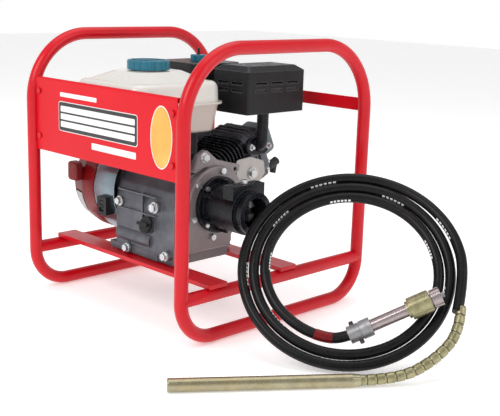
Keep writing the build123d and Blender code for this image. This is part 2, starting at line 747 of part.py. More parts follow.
with BuildPart() as air_cleaner_lid:
    with BuildSketch(Plane.XY.offset(air_lid_z)):
        with Locations(air_mid):
            RectangleRounded(air_x1 - air_x0, air_y1 - air_y0, 18)
    extrude(amount=11.0)
    fillet(air_cleaner_lid.faces().sort_by(Axis.Z)[-1].edges(), 3.0)
    with BuildSketch(Plane.XY.offset(air_lid_z)):
        with Locations(air_mid):
            RectangleRounded(air_x1 - air_x0 - 8, air_y1 - air_y0 - 8, 14)
            Circle(11, mode=Mode.SUBTRACT)
    extrude(amount=6.0, mode=Mode.SUBTRACT)
    with BuildSketch(Plane.XY.offset(air_lid_z - 1)):
        with Locations(air_mid):
            Circle(3.4)
    extrude(amount=20.0, mode=Mode.SUBTRACT)
save(air_cleaner_lid.part, "air_cleaner_lid")

knob_z = air_lid_z + 11.0
with BuildPart() as air_cleaner_knob:
    with BuildSketch(Plane.XY.offset(knob_z + 0.1)):
        with Locations(air_mid):
            Circle(17.0)
            with PolarLocations(17.0, 6):
                Circle(4.0, mode=Mode.SUBTRACT)
    extrude(amount=13.0)
    fillet(air_cleaner_knob.faces().sort_by(Axis.Z)[-1].edges(), 2.0)
    with BuildSketch(Plane.XY.offset(knob_z)):
        with Locations(air_mid):
            Circle(2.95 + fit_gap)
    extrude(amount=20.0, mode=Mode.SUBTRACT)
save(air_cleaner_knob.part, "air_cleaner_knob")

carb_y = cyl_plane(head_s + 24, 0, port_up).origin.Y
carb_z = cyl_plane(head_s + 24, 0, port_up).origin.Z
head_face = cyl_x - port_face
with BuildPart() as carburettor:
    with BuildSketch(Plane(origin=(head_face, carb_y, carb_z), x_dir=(0, 1, 0), z_dir=(-1, 0, 0))):
        RectangleRounded(46, 40, 8)
    extrude(amount=9.0)
    with BuildSketch(Plane(origin=(head_face - 9, carb_y, carb_z), x_dir=(0, 1, 0), z_dir=(-1, 0, 0))):
        RectangleRounded(40, 34, 6)
    extrude(amount=42.0)
    with BuildSketch(Plane.XY.offset(carb_z - 15)):
        with Locations((head_face - 28, carb_y)):
            Circle(20.0)
    extrude(amount=-32.0)
    with BuildSketch(Plane.XY.offset(carb_z - 47)):
        with Locations((head_face - 28, carb_y)):
            RegularPolygon(6.0, 6)
    extrude(amount=-6.0)
    with BuildSketch(Plane(origin=(head_face + 1, carb_y, carb_z), x_dir=(0, 1, 0), z_dir=(-1, 0, 0))):
        Circle(10.0)
    extrude(amount=60.0, mode=Mode.SUBTRACT)
save(carburettor.part, "carburettor")

duct_x = head_face - 51.0
with BuildPart() as intake_elbow:
    with BuildSketch(Plane(origin=(duct_x, carb_y, carb_z), x_dir=(0, 1, 0), z_dir=(-1, 0, 0))):
        RectangleRounded(40, 34, 6)
        Circle(12.0, mode=Mode.SUBTRACT)
    extrude(amount=4.0)
    with BuildLine() as intake_line:
        intake_run = FilletPolyline(
            (duct_x - 4, carb_y, carb_z),
            (duct_x - 26, carb_y, carb_z),
            (duct_x - 26, carb_y, air_z0),
            radius=17,
        )
    with BuildSketch(Plane(origin=(duct_x - 4, carb_y, carb_z), z_dir=(-1, 0, 0))):
        Circle(15.0)
        Circle(12.0, mode=Mode.SUBTRACT)
    sweep(path=intake_line.wire())
save(intake_elbow.part, "intake_elbow")

lever_t = 3.0
choke_at = (head_face - 40.0, carb_z + 6)
with BuildPart() as choke_lever:
    with BuildSketch(Plane(origin=(choke_at[0], carb_y + 20.1, choke_at[1]), z_dir=(0, 1, 0))):
        Circle(7.0)
        with Locations((0, 0)):
            SlotCenterPoint((0, -16), (0, 0), 8)
    extrude(amount=lever_t)
    with BuildSketch(Plane(origin=(choke_at[0], carb_y + 20.1, choke_at[1]), z_dir=(0, 1, 0))):
        Circle(3.0)
    extrude(amount=6.0)
save(choke_lever.part, "choke_lever")

tap_at = (head_face - 28.0, carb_z - 30)
with BuildPart() as fuel_tap:
    with BuildSketch(Plane(origin=(tap_at[0], carb_y + 20.1, tap_at[1]), z_dir=(0, 1, 0))):
        Circle(8.0)
    extrude(amount=5.0)
    with BuildSketch(Plane(origin=(tap_at[0], carb_y + 25.1, tap_at[1]), z_dir=(0, 1, 0))):
        SlotCenterPoint((10, 0), (22, 0), 9)
    extrude(amount=4.0)
save(fuel_tap.part, "fuel_tap")

throttle_at = (-52.0, 28.0)
throttle_z = 346.0
with BuildPart() as control_plate:
    with BuildSketch(Plane.XY.offset(throttle_z)):
        with Locations((throttle_at[0] + 4, throttle_at[1] - 2)):
            RectangleRounded(64, 40, 6)
    extrude(amount=2.5)
    with BuildSketch(Plane.XY.offset(throttle_z)):
        with Locations(throttle_at):
            Circle(3.5)
    extrude(amount=10.0)
    with Locations((throttle_at[0] - 17, throttle_at[1] - 2, crank_z + 95.05)):
        Box(10, 30, throttle_z - crank_z - 95, align=(Align.CENTER, Align.CENTER, Align.MIN))
save(control_plate.part, "control_plate")

with BuildPart() as throttle_lever:
    with BuildSketch(Plane.XY.offset(throttle_z + 2.6)):
        with Locations(throttle_at):
            SlotCenterPoint((-28, 0), (0, 0), 14)
            Circle(3.5 + fit_gap, mode=Mode.SUBTRACT)
    extrude(amount=3.0)
    with BuildSketch(Plane.XY.offset(throttle_z + 5.6)):
        with Locations((throttle_at[0] - 50, throttle_at[1])):
            SlotOverall(24, 11)
    extrude(amount=4.0)
save(throttle_lever.part, "throttle_lever")

switch_at = (-88.0, 198.0)
switch_face = -180.0
switch_pivot_y = switch_face + 3.0
with BuildPart() as switch_box:
    with BuildSketch(front_plane(switch_at[0], -158.0, switch_at[1])):
        RectangleRounded(30, 38, 4)
    extrude(amount=-158.0 - switch_face)
    with BuildSketch(front_plane(switch_at[0], switch_pivot_y + 7, switch_at[1])):
        Rectangle(15, 23)
    extrude(amount=14.0, mode=Mode.SUBTRACT)
    with Locations(Location((switch_at[0], switch_pivot_y, switch_at[1]))):
        Cylinder(1.65, 24, rotation=(0, 90, 0), mode=Mode.SUBTRACT)
    with BuildSketch(crank_plane(fan_x0)):
        fan_outline(0.05)
    extrude(amount=fan_x1 - fan_x0, mode=Mode.SUBTRACT)
save(switch_box.part, "switch_box")

# rocker on a round pin that turns in the two side walls
with BuildPart() as stop_switch:
    with BuildSketch(Plane(origin=(switch_at[0] - 7, switch_pivot_y, switch_at[1]), x_dir=(0, 1, 0), z_dir=(1, 0, 0))):
        Polygon((-3, 10), (3, 9), (3, -9), (0, -10), align=None)
        Circle(4)
    extrude(amount=14.0)
    with Locations(Location((switch_at[0], switch_pivot_y, switch_at[1]))):
        Cylinder(1.5, 22, rotation=(0, 90, 0))
save(stop_switch.part, "stop_switch")

# ================================================================= fuel
tank_x0 = -122.0
tank_x1 = 80.0
tank_y0 = -223.0
tank_y1 = -6.0
tank_z0 = 356.0
seam_z = 414.0
tank_z1 = 456.0
tank_wall = 2.0
tank_mid = ((tank_x0 + tank_x1) / 2, (tank_y0 + tank_y1) / 2)
cap_at = (-22.0, -114.0)
tank_top = 473.0
cap_t = 18.0
crown = (106.0, 118.0)
neck_d = 46.0


with BuildPart() as tank_inner:
    with BuildSketch(Plane.XY.offset(seam_z)):
        with Locations(tank_mid):
            RectangleRounded(tank_x1 - tank_x0 - 2 * tank_wall, tank_y1 - tank_y0 - 2 * tank_wall, 24)
    extrude(amount=tank_z0 + tank_wall - seam_z, taper=11)
    with BuildSketch(Plane.XY.offset(seam_z)):
        with Locations(tank_mid):
            RectangleRounded(tank_x1 - tank_x0 - 2 * tank_wall, tank_y1 - tank_y0 - 2 * tank_wall, 24)
    extrude(amount=tank_z1 - tank_wall - seam_z, taper=4)
    fillet(tank_inner.faces().sort_by(Axis.Z)[-1].edges(), 12.0)
    with BuildSketch(Plane.XY.offset(tank_z1 - 12)):
        with Locations(tank_mid):
            RectangleRounded(tank_x1 - tank_x0 - 40, tank_y1 - tank_y0 - 40, 20)
    with BuildSketch(Plane.XY.offset(tank_top - tank_wall)):
        with Locations(tank_mid):
            RectangleRounded(crown[0] - 10, crown[1] - 10, 30)
    loft()

# tank: tapered pan below the seam flange, crowned shell above it
with BuildPart() as fuel_tank:
    with BuildSketch(Plane.XY.offset(seam_z)):
        with Locations(tank_mid):
            RectangleRounded(tank_x1 - tank_x0, tank_y1 - tank_y0, 26)
    extrude(amount=tank_z0 - seam_z, taper=11)
    with BuildSketch(Plane.XY.offset(seam_z)):
        with Locations(tank_mid):
            RectangleRounded(tank_x1 - tank_x0, tank_y1 - tank_y0, 26)
    extrude(amount=tank_z1 - seam_z, taper=4)
    fillet(fuel_tank.faces().sort_by(Axis.Z)[-1].edges(), 14.0)
    fillet(fuel_tank.faces().sort_by(Axis.Z)[0].edges(), 8.0)
    with BuildSketch(Plane.XY.offset(tank_z1 - 3)):
        with Locations(tank_mid):
            RectangleRounded(tank_x1 - tank_x0 - 18, tank_y1 - tank_y0 - 18, 26)
    with BuildSketch(Plane.XY.offset(tank_top)):
        with Locations(tank_mid):
            RectangleRounded(crown[0], crown[1], 34)
    loft()
    with BuildSketch(Plane.XY.offset(seam_z - 2)):
        with Locations(tank_mid):
            RectangleRounded(tank_x1 - tank_x0 + 14, tank_y1 - tank_y0 + 14, 32)
    extrude(amount=4.0)
    add(tank_inner.part, mode=Mode.SUBTRACT)
    with BuildSketch(Plane.XY.offset(tank_top - 6)):
        with Locations(cap_at):
            Circle(neck_d / 2 + 2)
    extrude(amount=10.0)
    with BuildSketch(Plane.XY.offset(tank_top - 20)):
        with Locations(cap_at):
            Circle(neck_d / 2)
    extrude(amount=40.0, mode=Mode.SUBTRACT)
save(fuel_tank.part, "fuel_tank")

with BuildPart() as fuel_strainer:
    with BuildSketch(Plane.XY.offset(tank_top - 44)):
        with Locations(cap_at):
            Circle(neck_d / 2 - 0.05)
    extrude(amount=47.0)
    with BuildSketch(Plane.XY.offset(tank_top - 43)):
        with Locations(cap_at):
            Circle(neck_d / 2 - 1.5)
    extrude(amount=60.0, mode=Mode.SUBTRACT)
save(fuel_strainer.part, "fuel_strainer")

with BuildPart() as fuel_cap:
    with BuildSketch(Plane.XY.offset(tank_top + 2)):
        with Locations(cap_at):
            Circle(41.5)
    extrude(amount=cap_t)
    fillet(fuel_cap.faces().sort_by(Axis.Z)[-1].edges(), 3.0)
    with BuildSketch(Plane.XY.offset(tank_top + 2)):
        with Locations(cap_at):
            with PolarLocations(43.5, 18):
                Circle(3.6)
    extrude(amount=cap_t, mode=Mode.SUBTRACT)
    # dished top with a low finger bar, hollow skirt below
    with BuildSketch(Plane.XY.offset(tank_top + cap_t - 4)):
        with Locations(cap_at):
            Circle(33.0)
            SlotOverall(60, 13, rotation=25, mode=Mode.SUBTRACT)
    extrude(amount=8.0, mode=Mode.SUBTRACT)
    with BuildSketch(Plane.XY.offset(tank_top + 1)):
        with Locations(cap_at):
            Circle(37.0)
            Circle(neck_d / 2 - 2, mode=Mode.SUBTRACT)
    extrude(amount=cap_t - 10, mode=Mode.SUBTRACT)
    with BuildSketch(Plane.XY.offset(tank_top + 2)):
        with Locations(cap_at):
            Circle(neck_d / 2 - 2)
    extrude(amount=-10.0)
save(fuel_cap.part, "fuel_cap")

# sheet legs that carry the tank above the crankcase
leg_top = tank_z0
with BuildPart() as tank_legs:
    for x in (-22.0, 50.0):
        with Locations((x, -72, 303)):
            Box(22, 30, 4, align=(Align.CENTER, Align.CENTER, Align.MIN))
        with Locations((x, -58.5, 303)):
            Box(22, 3, leg_top - 303, align=(Align.CENTER, Align.CENTER, Align.MIN))
        with Locations((x, -72, leg_top - 3)):
            Box(22, 30, 3, align=(Align.CENTER, Align.CENTER, Align.MIN))
save(tank_legs.part, "tank_legs")

# ============================================================== exhaust
muf_x0 = 18.0
muf_x1 = 120.0
muf_y0 = 20.0
muf_y1 = 184.0
muf_z0 = 390.0
muf_z1 = 474.0
muf_top = 484.0
bevel = 14.0
guard_t = 1.5
muf_mid = ((muf_x0 + muf_x1) / 2, (muf_y0 + muf_y1) / 2)
muf_l = muf_x1 - muf_x0
muf_w = muf_y1 - muf_y0
with BuildPart() as muffler_guard:
    with BuildSketch(Plane.XY.offset(muf_z0)):
        with Locations(muf_mid):
            RectangleRounded(muf_l, muf_w, 6)
    extrude(amount=muf_z1 - muf_z0)
    with BuildSketch(Plane.XY.offset(muf_z1)):
        with Locations(muf_mid):
            RectangleRounded(muf_l, muf_w, 6)
    with BuildSketch(Plane.XY.offset(muf_top)):
        with Locations(muf_mid):
            RectangleRounded(muf_l - 2 * bevel, muf_w - 2 * bevel, 6)
    loft()
    with BuildSketch(Plane.XY.offset(muf_z0 - 1)):
        with Locations(muf_mid):
            RectangleRounded(muf_l - 2 * guard_t, muf_w - 2 * guard_t, 5)
    extrude(amount=muf_z1 - muf_z0, mode=Mode.SUBTRACT)
    # louvre slots: front face, drive-side face and top
    with BuildSketch(Plane(origin=(muf_mid[0], muf_y0 - 1, 0), x_dir=(1, 0, 0), z_dir=(0, -1, 0))):
        with Locations((-20, 450), (20, 450), (-20, 436), (20, 436)):
            SlotOverall(32, 6)
    extrude(amount=-6.0, mode=Mode.SUBTRACT)
    with BuildSketch(Plane(origin=(muf_x1 + 1, muf_mid[1], 0), x_dir=(0, 1, 0), z_dir=(1, 0, 0))):
        with Locations((-45, 450), (0, 450), (45, 450), (-45, 436), (0, 436), (45, 436)):
            SlotOverall(34, 6)
    extrude(amount=-6.0, mode=Mode.SUBTRACT)
    with BuildSketch(Plane.XY.offset(muf_top + 1)):
        with Locations(muf_mid):
            with GridLocations(34, 44, 2, 3):
                SlotOverall(24, 7)
    extrude(amount=-14.0, mode=Mode.SUBTRACT)
save(muffler_guard.part, "muffler_guard")

pipe_x = cyl_x + 75.0
with BuildPart() as muffler:
    with BuildSketch(Plane.XY.offset(muf_z0 + 2)):
        with Locations(muf_mid):
            RectangleRounded(muf_l - 2 * guard_t - 1, muf_w - 2 * guard_t - 8, 14)
    extrude(amount=58.0)
    with BuildSketch(Plane.XY.offset(muf_z0 + 4)):
        with Locations(muf_mid):
            RectangleRounded(muf_l - 2 * guard_t - 5, muf_w - 2 * guard_t - 12, 12)
    extrude(amount=54.0, mode=Mode.SUBTRACT)
    with BuildSketch(Plane.XY.offset(muf_z0)):
        with Locations((pipe_x, carb_y)):
            Circle(12.0)
    extrude(amount=6.0, mode=Mode.SUBTRACT)
save(muffler.part, "muffler")

with BuildPart() as exhaust_elbow:
    with BuildSketch(Plane(origin=(cyl_x + port_face, carb_y, carb_z), x_dir=(0, 1, 0), z_dir=(1, 0, 0))):
        SlotOverall(64, 34)
    extrude(amount=6.0)
    with BuildLine() as exhaust_line:
        exhaust_run = FilletPolyline(
            (cyl_x + port_face, carb_y, carb_z),
            (pipe_x, carb_y, carb_z),
            (pipe_x, carb_y, muf_z0 + 6),
            radius=15.5,
        )
    with BuildSketch(Plane(origin=(cyl_x + port_face, carb_y, carb_z), z_dir=(1, 0, 0))):
        Circle(11.95)
    sweep(path=exhaust_line.wire())
    with BuildSketch(Plane(origin=(cyl_x + port_face - 1, carb_y, carb_z), z_dir=(1, 0, 0))):
        Circle(9.5)
    extrude(amount=10.0, mode=Mode.SUBTRACT)
save(exhaust_elbow.part, "exhaust_elbow")

# ====================================================== drive coupling
flange_r = 55.0
barrel_r = 44.0
coupling_bolt_r = 49.5
collar_x = 221.0
lock_x = 207.0
with BuildPart() as coupling_housing:
    with BuildSketch(crank_plane(case_x1 + cover_t)):
        Circle(flange_r)
    extrude(amount=9.0)
    with BuildSketch(crank_plane(case_x1 + cover_t)):
        Circle(barrel_r)
    extrude(amount=collar_x - case_x1 - cover_t)
    with BuildSketch(crank_plane(collar_x)):
        Circle(mouth_d / 2 - 2)
    extrude(amount=mouth_x - collar_x)
    with BuildSketch(crank_plane(mouth_x - 8)):
        Circle(mouth_d / 2)
    extrude(amount=8.0)
    # square shoulder across the top, with the lock plunger's bore
    with Locations((lock_x, crank_y, crank_z + 26)):
        Box(26, 82, 26, align=(Align.CENTER, Align.CENTER, Align.MIN))
    # ribs from the flange to the barrel
    with BuildSketch(crank_plane(case_x1 + cover_t + 8)):
        with PolarLocations(barrel_r + 2, 6, start_angle=30):
            Rectangle(12, 5)
    extrude(amount=22.0)
    with BuildSketch(crank_plane(case_x1 + cover_t - 1)):
        Circle(mouth_bore_d / 2 + 6)
    extrude(amount=56.0, mode=Mode.SUBTRACT)
    with BuildSketch(crank_plane(case_x1 + cover_t - 1)):
        Circle(mouth_bore_d / 2)
    extrude(amount=120.0, mode=Mode.SUBTRACT)
    with BuildSketch(Plane(origin=(lock_x, crank_y, crank_z), z_dir=(0, 0, 1))):
        Circle(5.0)
    extrude(amount=80.0, mode=Mode.SUBTRACT)
    with BuildSketch(crank_plane(case_x1 + cover_t - 1)):
        with PolarLocations(coupling_bolt_r, 4, start_angle=45):
            Circle(2.8)
    extrude(amount=20.0, mode=Mode.SUBTRACT)
save(coupling_housing.part, "coupling_housing")

with BuildPart() as lock_plunger:
    with BuildSketch(Plane.XY.offset(crank_z + mouth_bore_d / 2 + 0.5)):
        with Locations((lock_x, crank_y)):
            Circle(5.0 - fit_gap)
    extrude(amount=22.0)
    with BuildSketch(Plane.XY.offset(crank_z + mouth_bore_d / 2 + 22.5)):
        with Locations((lock_x, crank_y)):
            Circle(7.0)
    extrude(amount=7.0)
    fillet(lock_plunger.faces().sort_by(Axis.Z)[-1].edges(), 2.0)
save(lock_plunger.part, "lock_plunger")

socket_x0 = 168.0
socket_x1 = 216.0
with BuildPart() as drive_socket:
    with BuildSketch(crank_plane(socket_x0)):
        Circle(22.0)
    extrude(amount=socket_x1 - socket_x0)
    with BuildSketch(crank_plane(socket_x0 - 1)):
        Circle(shaft_d / 2)
    extrude(amount=40.0, mode=Mode.SUBTRACT)
    with BuildSketch(crank_plane(socket_x1 - 10)):
        Rectangle(60, 12)
        Rectangle(12, 60)
    extrude(amount=12.0, mode=Mode.SUBTRACT)
save(drive_socket.part, "drive_socket")

# =========================================================== fasteners
with BuildPart() as hex_bolts:
    # drive-side cover
    with BuildSketch(crank_plane(case_x1 + cover_t)):
        with PolarLocations(cover_bolt_r, 6, start_angle=20):
            RegularPolygon(6.6, 6)
    extrude(amount=6.0)
    with BuildSketch(crank_plane(case_x1 + 1)):
        with PolarLocations(cover_bolt_r, 6, start_angle=20):
            Circle(3.5)
    extrude(amount=cover_t)
    # recoil cover
    with BuildSketch(crank_plane(fan_x0)):
        with PolarLocations(83, 4, start_angle=45):
            RegularPolygon(5.5, 6)
    extrude(amount=-6.0)
    # rocker cover
    for dx, du in ((-40, 38), (40, 38), (-40, -38), (40, -38)):
        with BuildSketch(cyl_plane(rocker_s + 6, cyl_x + dx, du)):
            RegularPolygon(4.6, 6)
        extrude(amount=5.0)
    # exhaust flange
    for dy in (-24, 24):
        with BuildSketch(Plane(origin=(cyl_x + port_face + 6, carb_y + dy, carb_z), z_dir=(1, 0, 0))):
            RegularPolygon(7.0, 6)
        extrude(amount=7.0)
        with BuildSketch(Plane(origin=(cyl_x + port_face + 13, carb_y + dy, carb_z), z_dir=(1, 0, 0))):
            Circle(3.5)
        extrude(amount=6.0)
    # coupling flange
    with BuildSketch(crank_plane(case_x1 + cover_t + 9)):
        with PolarLocations(coupling_bolt_r, 4, start_angle=45):
            RegularPolygon(5.0, 6)
    extrude(amount=5.0)
    with BuildSketch(crank_plane(case_x1 + cover_t + 1)):
        with PolarLocations(coupling_bolt_r, 4, start_angle=45):
            Circle(2.75)
    extrude(amount=8.0)
save(hex_bolts.part, "hex_bolts")

with BuildPart() as bright_plugs:
    # oil drain plugs
    for (x, z), reach in zip(drain_at, (6.0, 10.0)):
        face_y = case_front - reach
        with BuildSketch(Plane(origin=(x, face_y, z), z_dir=(0, -1, 0))):
            Circle(9.0)
        extrude(amount=2.0)
        with BuildSketch(Plane(origin=(x, face_y - 2, z), z_dir=(0, -1, 0))):
            RegularPolygon(7.4, 6)
        extrude(amount=6.5)
        with BuildSketch(Plane(origin=(x, face_y, z), z_dir=(0, 1, 0))):
            Circle(4.95)
        extrude(amount=14.0)
    # earth stud and sensor plug
    for (x, z), reach, radius, head in ((stud_at, 3.0, 3.95, 7.5), (sensor_at, 7.0, 4.95, 8.6)):
        face_y = case_front - reach
        with BuildSketch(Plane(origin=(x, face_y, z), z_dir=(0, -1, 0))):
            Circle(head + 2.5)
        extrude(amount=2.2)
        with BuildSketch(Plane(origin=(x, face_y - 2.2, z), z_dir=(0, -1, 0))):
            RegularPolygon(head, 6)
        extrude(amount=7.0)
        with BuildSketch(Plane(origin=(x, face_y, z), z_dir=(0, 1, 0))):
            Circle(radius)
        extrude(amount=9.0)
    # bracket bolt
    with BuildSketch(Plane(origin=(case_x1 + 6, -95, 319), z_dir=(1, 0, 0))):
        Circle(9.5)
    extrude(amount=2.0)
    with BuildSketch(Plane(origin=(case_x1 + 8, -95, 319), z_dir=(1, 0, 0))):
        RegularPolygon(7.5, 6)
    extrude(amount=7.0)
    with BuildSketch(Plane(origin=(case_x1 + 6, -95, 319), z_dir=(-1, 0, 0))):
        Circle(4.15)
    extrude(amount=14.0)
    # air guide shoulder bolt
    with BuildSketch(Plane(origin=(guide_x + 3, 66, 266), z_dir=(1, 0, 0))):
        Circle(12.5)
    extrude(amount=2.5)
    with BuildSketch(Plane(origin=(guide_x + 5.5, 66, 266), z_dir=(1, 0, 0))):
        RegularPolygon(9.5, 6)
    extrude(amount=6.5)
    with BuildSketch(Plane(origin=(guide_x + 5.5, 66, 266), z_dir=(1, 0, 0))):
        Circle(4.95)
    extrude(amount=-7.0)
save(bright_plugs.part, "bright_plugs")

# ======================================================= flexible shaft
heading = radians(coil_heading)
lean = radians(coil_lean)
coil_right = Vector(sin(heading), cos(heading), 0)
coil_flat = Vector(cos(heading), -sin(heading), 0)
coil_out = coil_flat * cos(lean) + Vector(0, 0, 1) * sin(lean)
coil_plane = Plane(origin=coil_center, x_dir=coil_right, z_dir=coil_out)
hose_r = hose_d / 2

def on_coil(u, v, w):
    """Point given across, up and out of the coil plane."""
    return coil_plane.from_local_coords(Vector(u, v, w))


# straight fitting line from the hose clamp to the drive tip
fit_start = on_coil(0, -128, 3)
fit_end = on_coil(156, -52, 36)
fit_way = (fit_end - fit_start).normalized()
fit_length = (fit_end - fit_start).length


def fit_plane(run):
    """Plane square to the drive-end fitting at a distance from the clamp mouth."""
    return Plane(origin=fit_start + fit_way * run, x_dir=coil_out.cross(fit_way), z_dir=fit_way)


clamp_l = 42.0
sleeve_l = 118.0
nut_at = 108.0
nut_l = 44.0
tail = Vector(*poker_tail)
poker_way = (Vector(*poker_tip) - tail).normalized()
poker_l = (Vector(*poker_tip) - tail).length

# zinc conduit from the last turn down to the floor and along to the poker
conduit_route = [
    on_coil(186, -66, 19.3),
    on_coil(184, -112, 20),
    on_coil(150, -160, 20),
    tail - poker_way * 70,
    tail,
]

# outer shape of the coiled hose: a flat oval ring leaning on the frame
ring_out = (207.5, 195.0)
ring_in = (147.0, 145.0)
with BuildPart() as hose_coil:
    with BuildSketch(coil_plane.offset(-hose_r)):
        with Locations((-5.5, 0)):
            Ellipse(*ring_out)
        with Locations((-5.5, -10)):
            Ellipse(*ring_in, mode=Mode.SUBTRACT)
    extrude(amount=hose_d)
    chamfer(hose_coil.edges(), 4.0)
    # lead from the clamp into the first turn
    with BuildLine() as hose_lead:
        FilletPolyline(fit_plane(clamp_l - 9).origin, on_coil(-37, -146, -4.8), on_coil(-86, -146, 0), radius=90)
    with BuildSketch(fit_plane(clamp_l - 9)):
        Circle(hose_r)
    sweep(path=hose_lead.wire())
    # last bit of hose, lifting off the turns to meet the conduit
    with BuildLine() as hose_rise:
        FilletPolyline(conduit_route[0], on_coil(186.8, -42, 19.1), on_coil(184, -2, 8), radius=80)
    with BuildSketch(Plane(origin=conduit_route[0], z_dir=conduit_route[0] - conduit_route[1])):
        Circle(hose_r)
    sweep(path=hose_rise.wire())
save(hose_coil.part, "hose_coil")

screw_runs = ((11.0, 1), (17.0, -1))
with BuildPart() as hose_clamp:
    with BuildSketch(fit_plane(0)):
        Circle(15.5)
    extrude(amount=21.0)
    with BuildSketch(fit_plane(0)):
        Circle(14.5)
    extrude(amount=clamp_l)
    with BuildSketch(fit_plane(22.5)):
        Circle(16.5)
    extrude(amount=clamp_l - 22.5)
    with BuildSketch(fit_plane(-1)):
        Circle(hose_r)
    extrude(amount=clamp_l - 7, mode=Mode.SUBTRACT)
    with BuildSketch(fit_plane(-1)):
        Circle(6.0)
    extrude(amount=clamp_l + 2, mode=Mode.SUBTRACT)
    # flat seats of the two cap screws
    for run, side in screw_runs:
        ring = fit_plane(run)
        with BuildSketch(Plane(origin=ring.origin + ring.x_dir * side * 13.5, x_dir=fit_way, z_dir=ring.x_dir * side)):
            Circle(4.2)
        extrude(amount=6.0, mode=Mode.SUBTRACT)
save(hose_clamp.part, "hose_clamp")

with BuildPart() as clamp_screws:
    for run, side in screw_runs:
        ring = fit_plane(run)
        with BuildSketch(Plane(origin=ring.origin + ring.x_dir * side * 13.5, x_dir=fit_way, z_dir=ring.x_dir * side)):
            Circle(4.0)
        extrude(amount=8.0)
        with BuildSketch(Plane(origin=ring.origin + ring.x_dir * side * 19, x_dir=fit_way, z_dir=ring.x_dir * side)):
            RegularPolygon(2.2, 6)
        extrude(amount=4.0, mode=Mode.SUBTRACT)
save(clamp_screws.part, "clamp_screws")

with BuildPart() as drive_sleeve:
    with BuildSketch(fit_plane(clamp_l)):
        Circle(11.0)
        Circle(6.0, mode=Mode.SUBTRACT)
    extrude(amount=sleeve_l - clamp_l)
    with BuildSketch(fit_plane(sleeve_l)):
        Circle(9.0)
        Circle(6.0, mode=Mode.SUBTRACT)
    extrude(amount=fit_length - sleeve_l - 6)
    # end collar that enters the coupling mouth
    with BuildSketch(fit_plane(nut_at + nut_l + 1.5)):
        Circle(16.5)
        Circle(6.0, mode=Mode.SUBTRACT)
    extrude(amount=fit_length - nut_at - nut_l - 7.5)
save(drive_sleeve.part, "drive_sleeve")

with BuildPart() as coupling_nut:
    with BuildSketch(fit_plane(nut_at)):
        Circle(15.0)
    extrude(amount=5.0)
    with BuildSketch(fit_plane(nut_at + 5)):
        Circle(19.5)
    extrude(amount=nut_l - 5)
    chamfer(coupling_nut.faces().sort_by(Axis((0, 0, 0), fit_way))[-1].edges(), 2.0)
    with BuildSketch(fit_plane(nut_at - 1)):
        Circle(11.0 + fit_gap)
    extrude(amount=nut_l + 2, mode=Mode.SUBTRACT)
save(coupling_nut.part, "coupling_nut")

with BuildPart() as drive_core:
    with BuildSketch(fit_plane(clamp_l + 6)):
        Circle(6.0 - fit_gap)
    extrude(amount=fit_length - clamp_l - 6)
    # driving flats at the tip
    for side in (-1, 1):
        with BuildSketch(fit_plane(fit_length - 5)):
            with Locations((side * 7, 0)):
                Rectangle(7, 14)
        extrude(amount=6.0, mode=Mode.SUBTRACT)
save(drive_core.part, "drive_core")


def run_radii(points):
    """Bend radius at each inner point: 0.45 of the shorter run over tan(half turn)."""
    radii = []
    for a, b, c in zip(points, points[1:], points[2:]):
        turn = (b - a).get_angle(c - b)
        shorter = min((b - a).length, (c - b).length)
        radii.append(0.45 * shorter / tan(radians(turn / 2)))
    return radii


conduit_radii = run_radii(conduit_route)
print("conduit radii", [round(r, 1) for r in conduit_radii])
with BuildPart() as steel_conduit:
    with BuildLine() as conduit_line:
        FilletPolyline(*conduit_route, radius=conduit_radii)
    with BuildSketch(Plane(origin=conduit_route[0], z_dir=conduit_route[1] - conduit_route[0])):
        Circle(conduit_d / 2)
    sweep(path=conduit_line.wire())
print("conduit volume ratio", round(steel_conduit.part.volume
      / (pi * conduit_d ** 2 / 4 * conduit_line.wire().length), 4))
save(steel_conduit.part, "steel_conduit")


def poker_plane(run):
    """Plane square to the poker at a distance from its tail."""
    return Plane(origin=tail + poker_way * run, x_dir=poker_way.cross(Vector(0, 0, 1)), z_dir=poker_way)


with BuildPart() as poker_tube:
    with BuildSketch(poker_plane(0)):
        Circle(poker_d / 2 - 1.5)
    with BuildSketch(poker_plane(14)):
        Circle(poker_d / 2)
    loft()
    with BuildSketch(poker_plane(14)):
        Circle(poker_d / 2)
    extrude(amount=poker_l - 14)
    with BuildSketch(poker_plane(20)):
        Circle(poker_d / 2 - 3)
    extrude(amount=poker_l, mode=Mode.SUBTRACT)
    with BuildSketch(poker_plane(poker_l)):
        Circle(poker_d / 2)
    extrude(amount=8.0)
    with BuildSketch(poker_plane(poker_l)):
        Circle(poker_d / 2 - 3)
    extrude(amount=-16.0)
    fillet(poker_tube.faces().sort_by(Axis((0, 0, 0), poker_way))[-1].edges(), 2.0)
save(poker_tube.part, "poker_tube")

with BuildPart() as eccentric_rotor:
    with BuildSketch(poker_plane(60)):
        Circle(poker_d / 2 - 4)
        with Locations((0, 9)):
            Rectangle(30, 10, mode=Mode.SUBTRACT)
    extrude(amount=poker_l - 60 - 40)
    with BuildSketch(poker_plane(30)):
        Circle(3.5)
    extrude(amount=poker_l - 58)
save(eccentric_rotor.part, "eccentric_rotor")

with BuildPart() as poker_bearings:
    for run in (40.0, poker_l - 36):
        with BuildSketch(poker_plane(run)):
            Circle(poker_d / 2 - 3)
            Circle(3.5 + fit_gap, mode=Mode.SUBTRACT)
        extrude(amount=8.0)
save(poker_bearings.part, "poker_bearings")
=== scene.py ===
import math

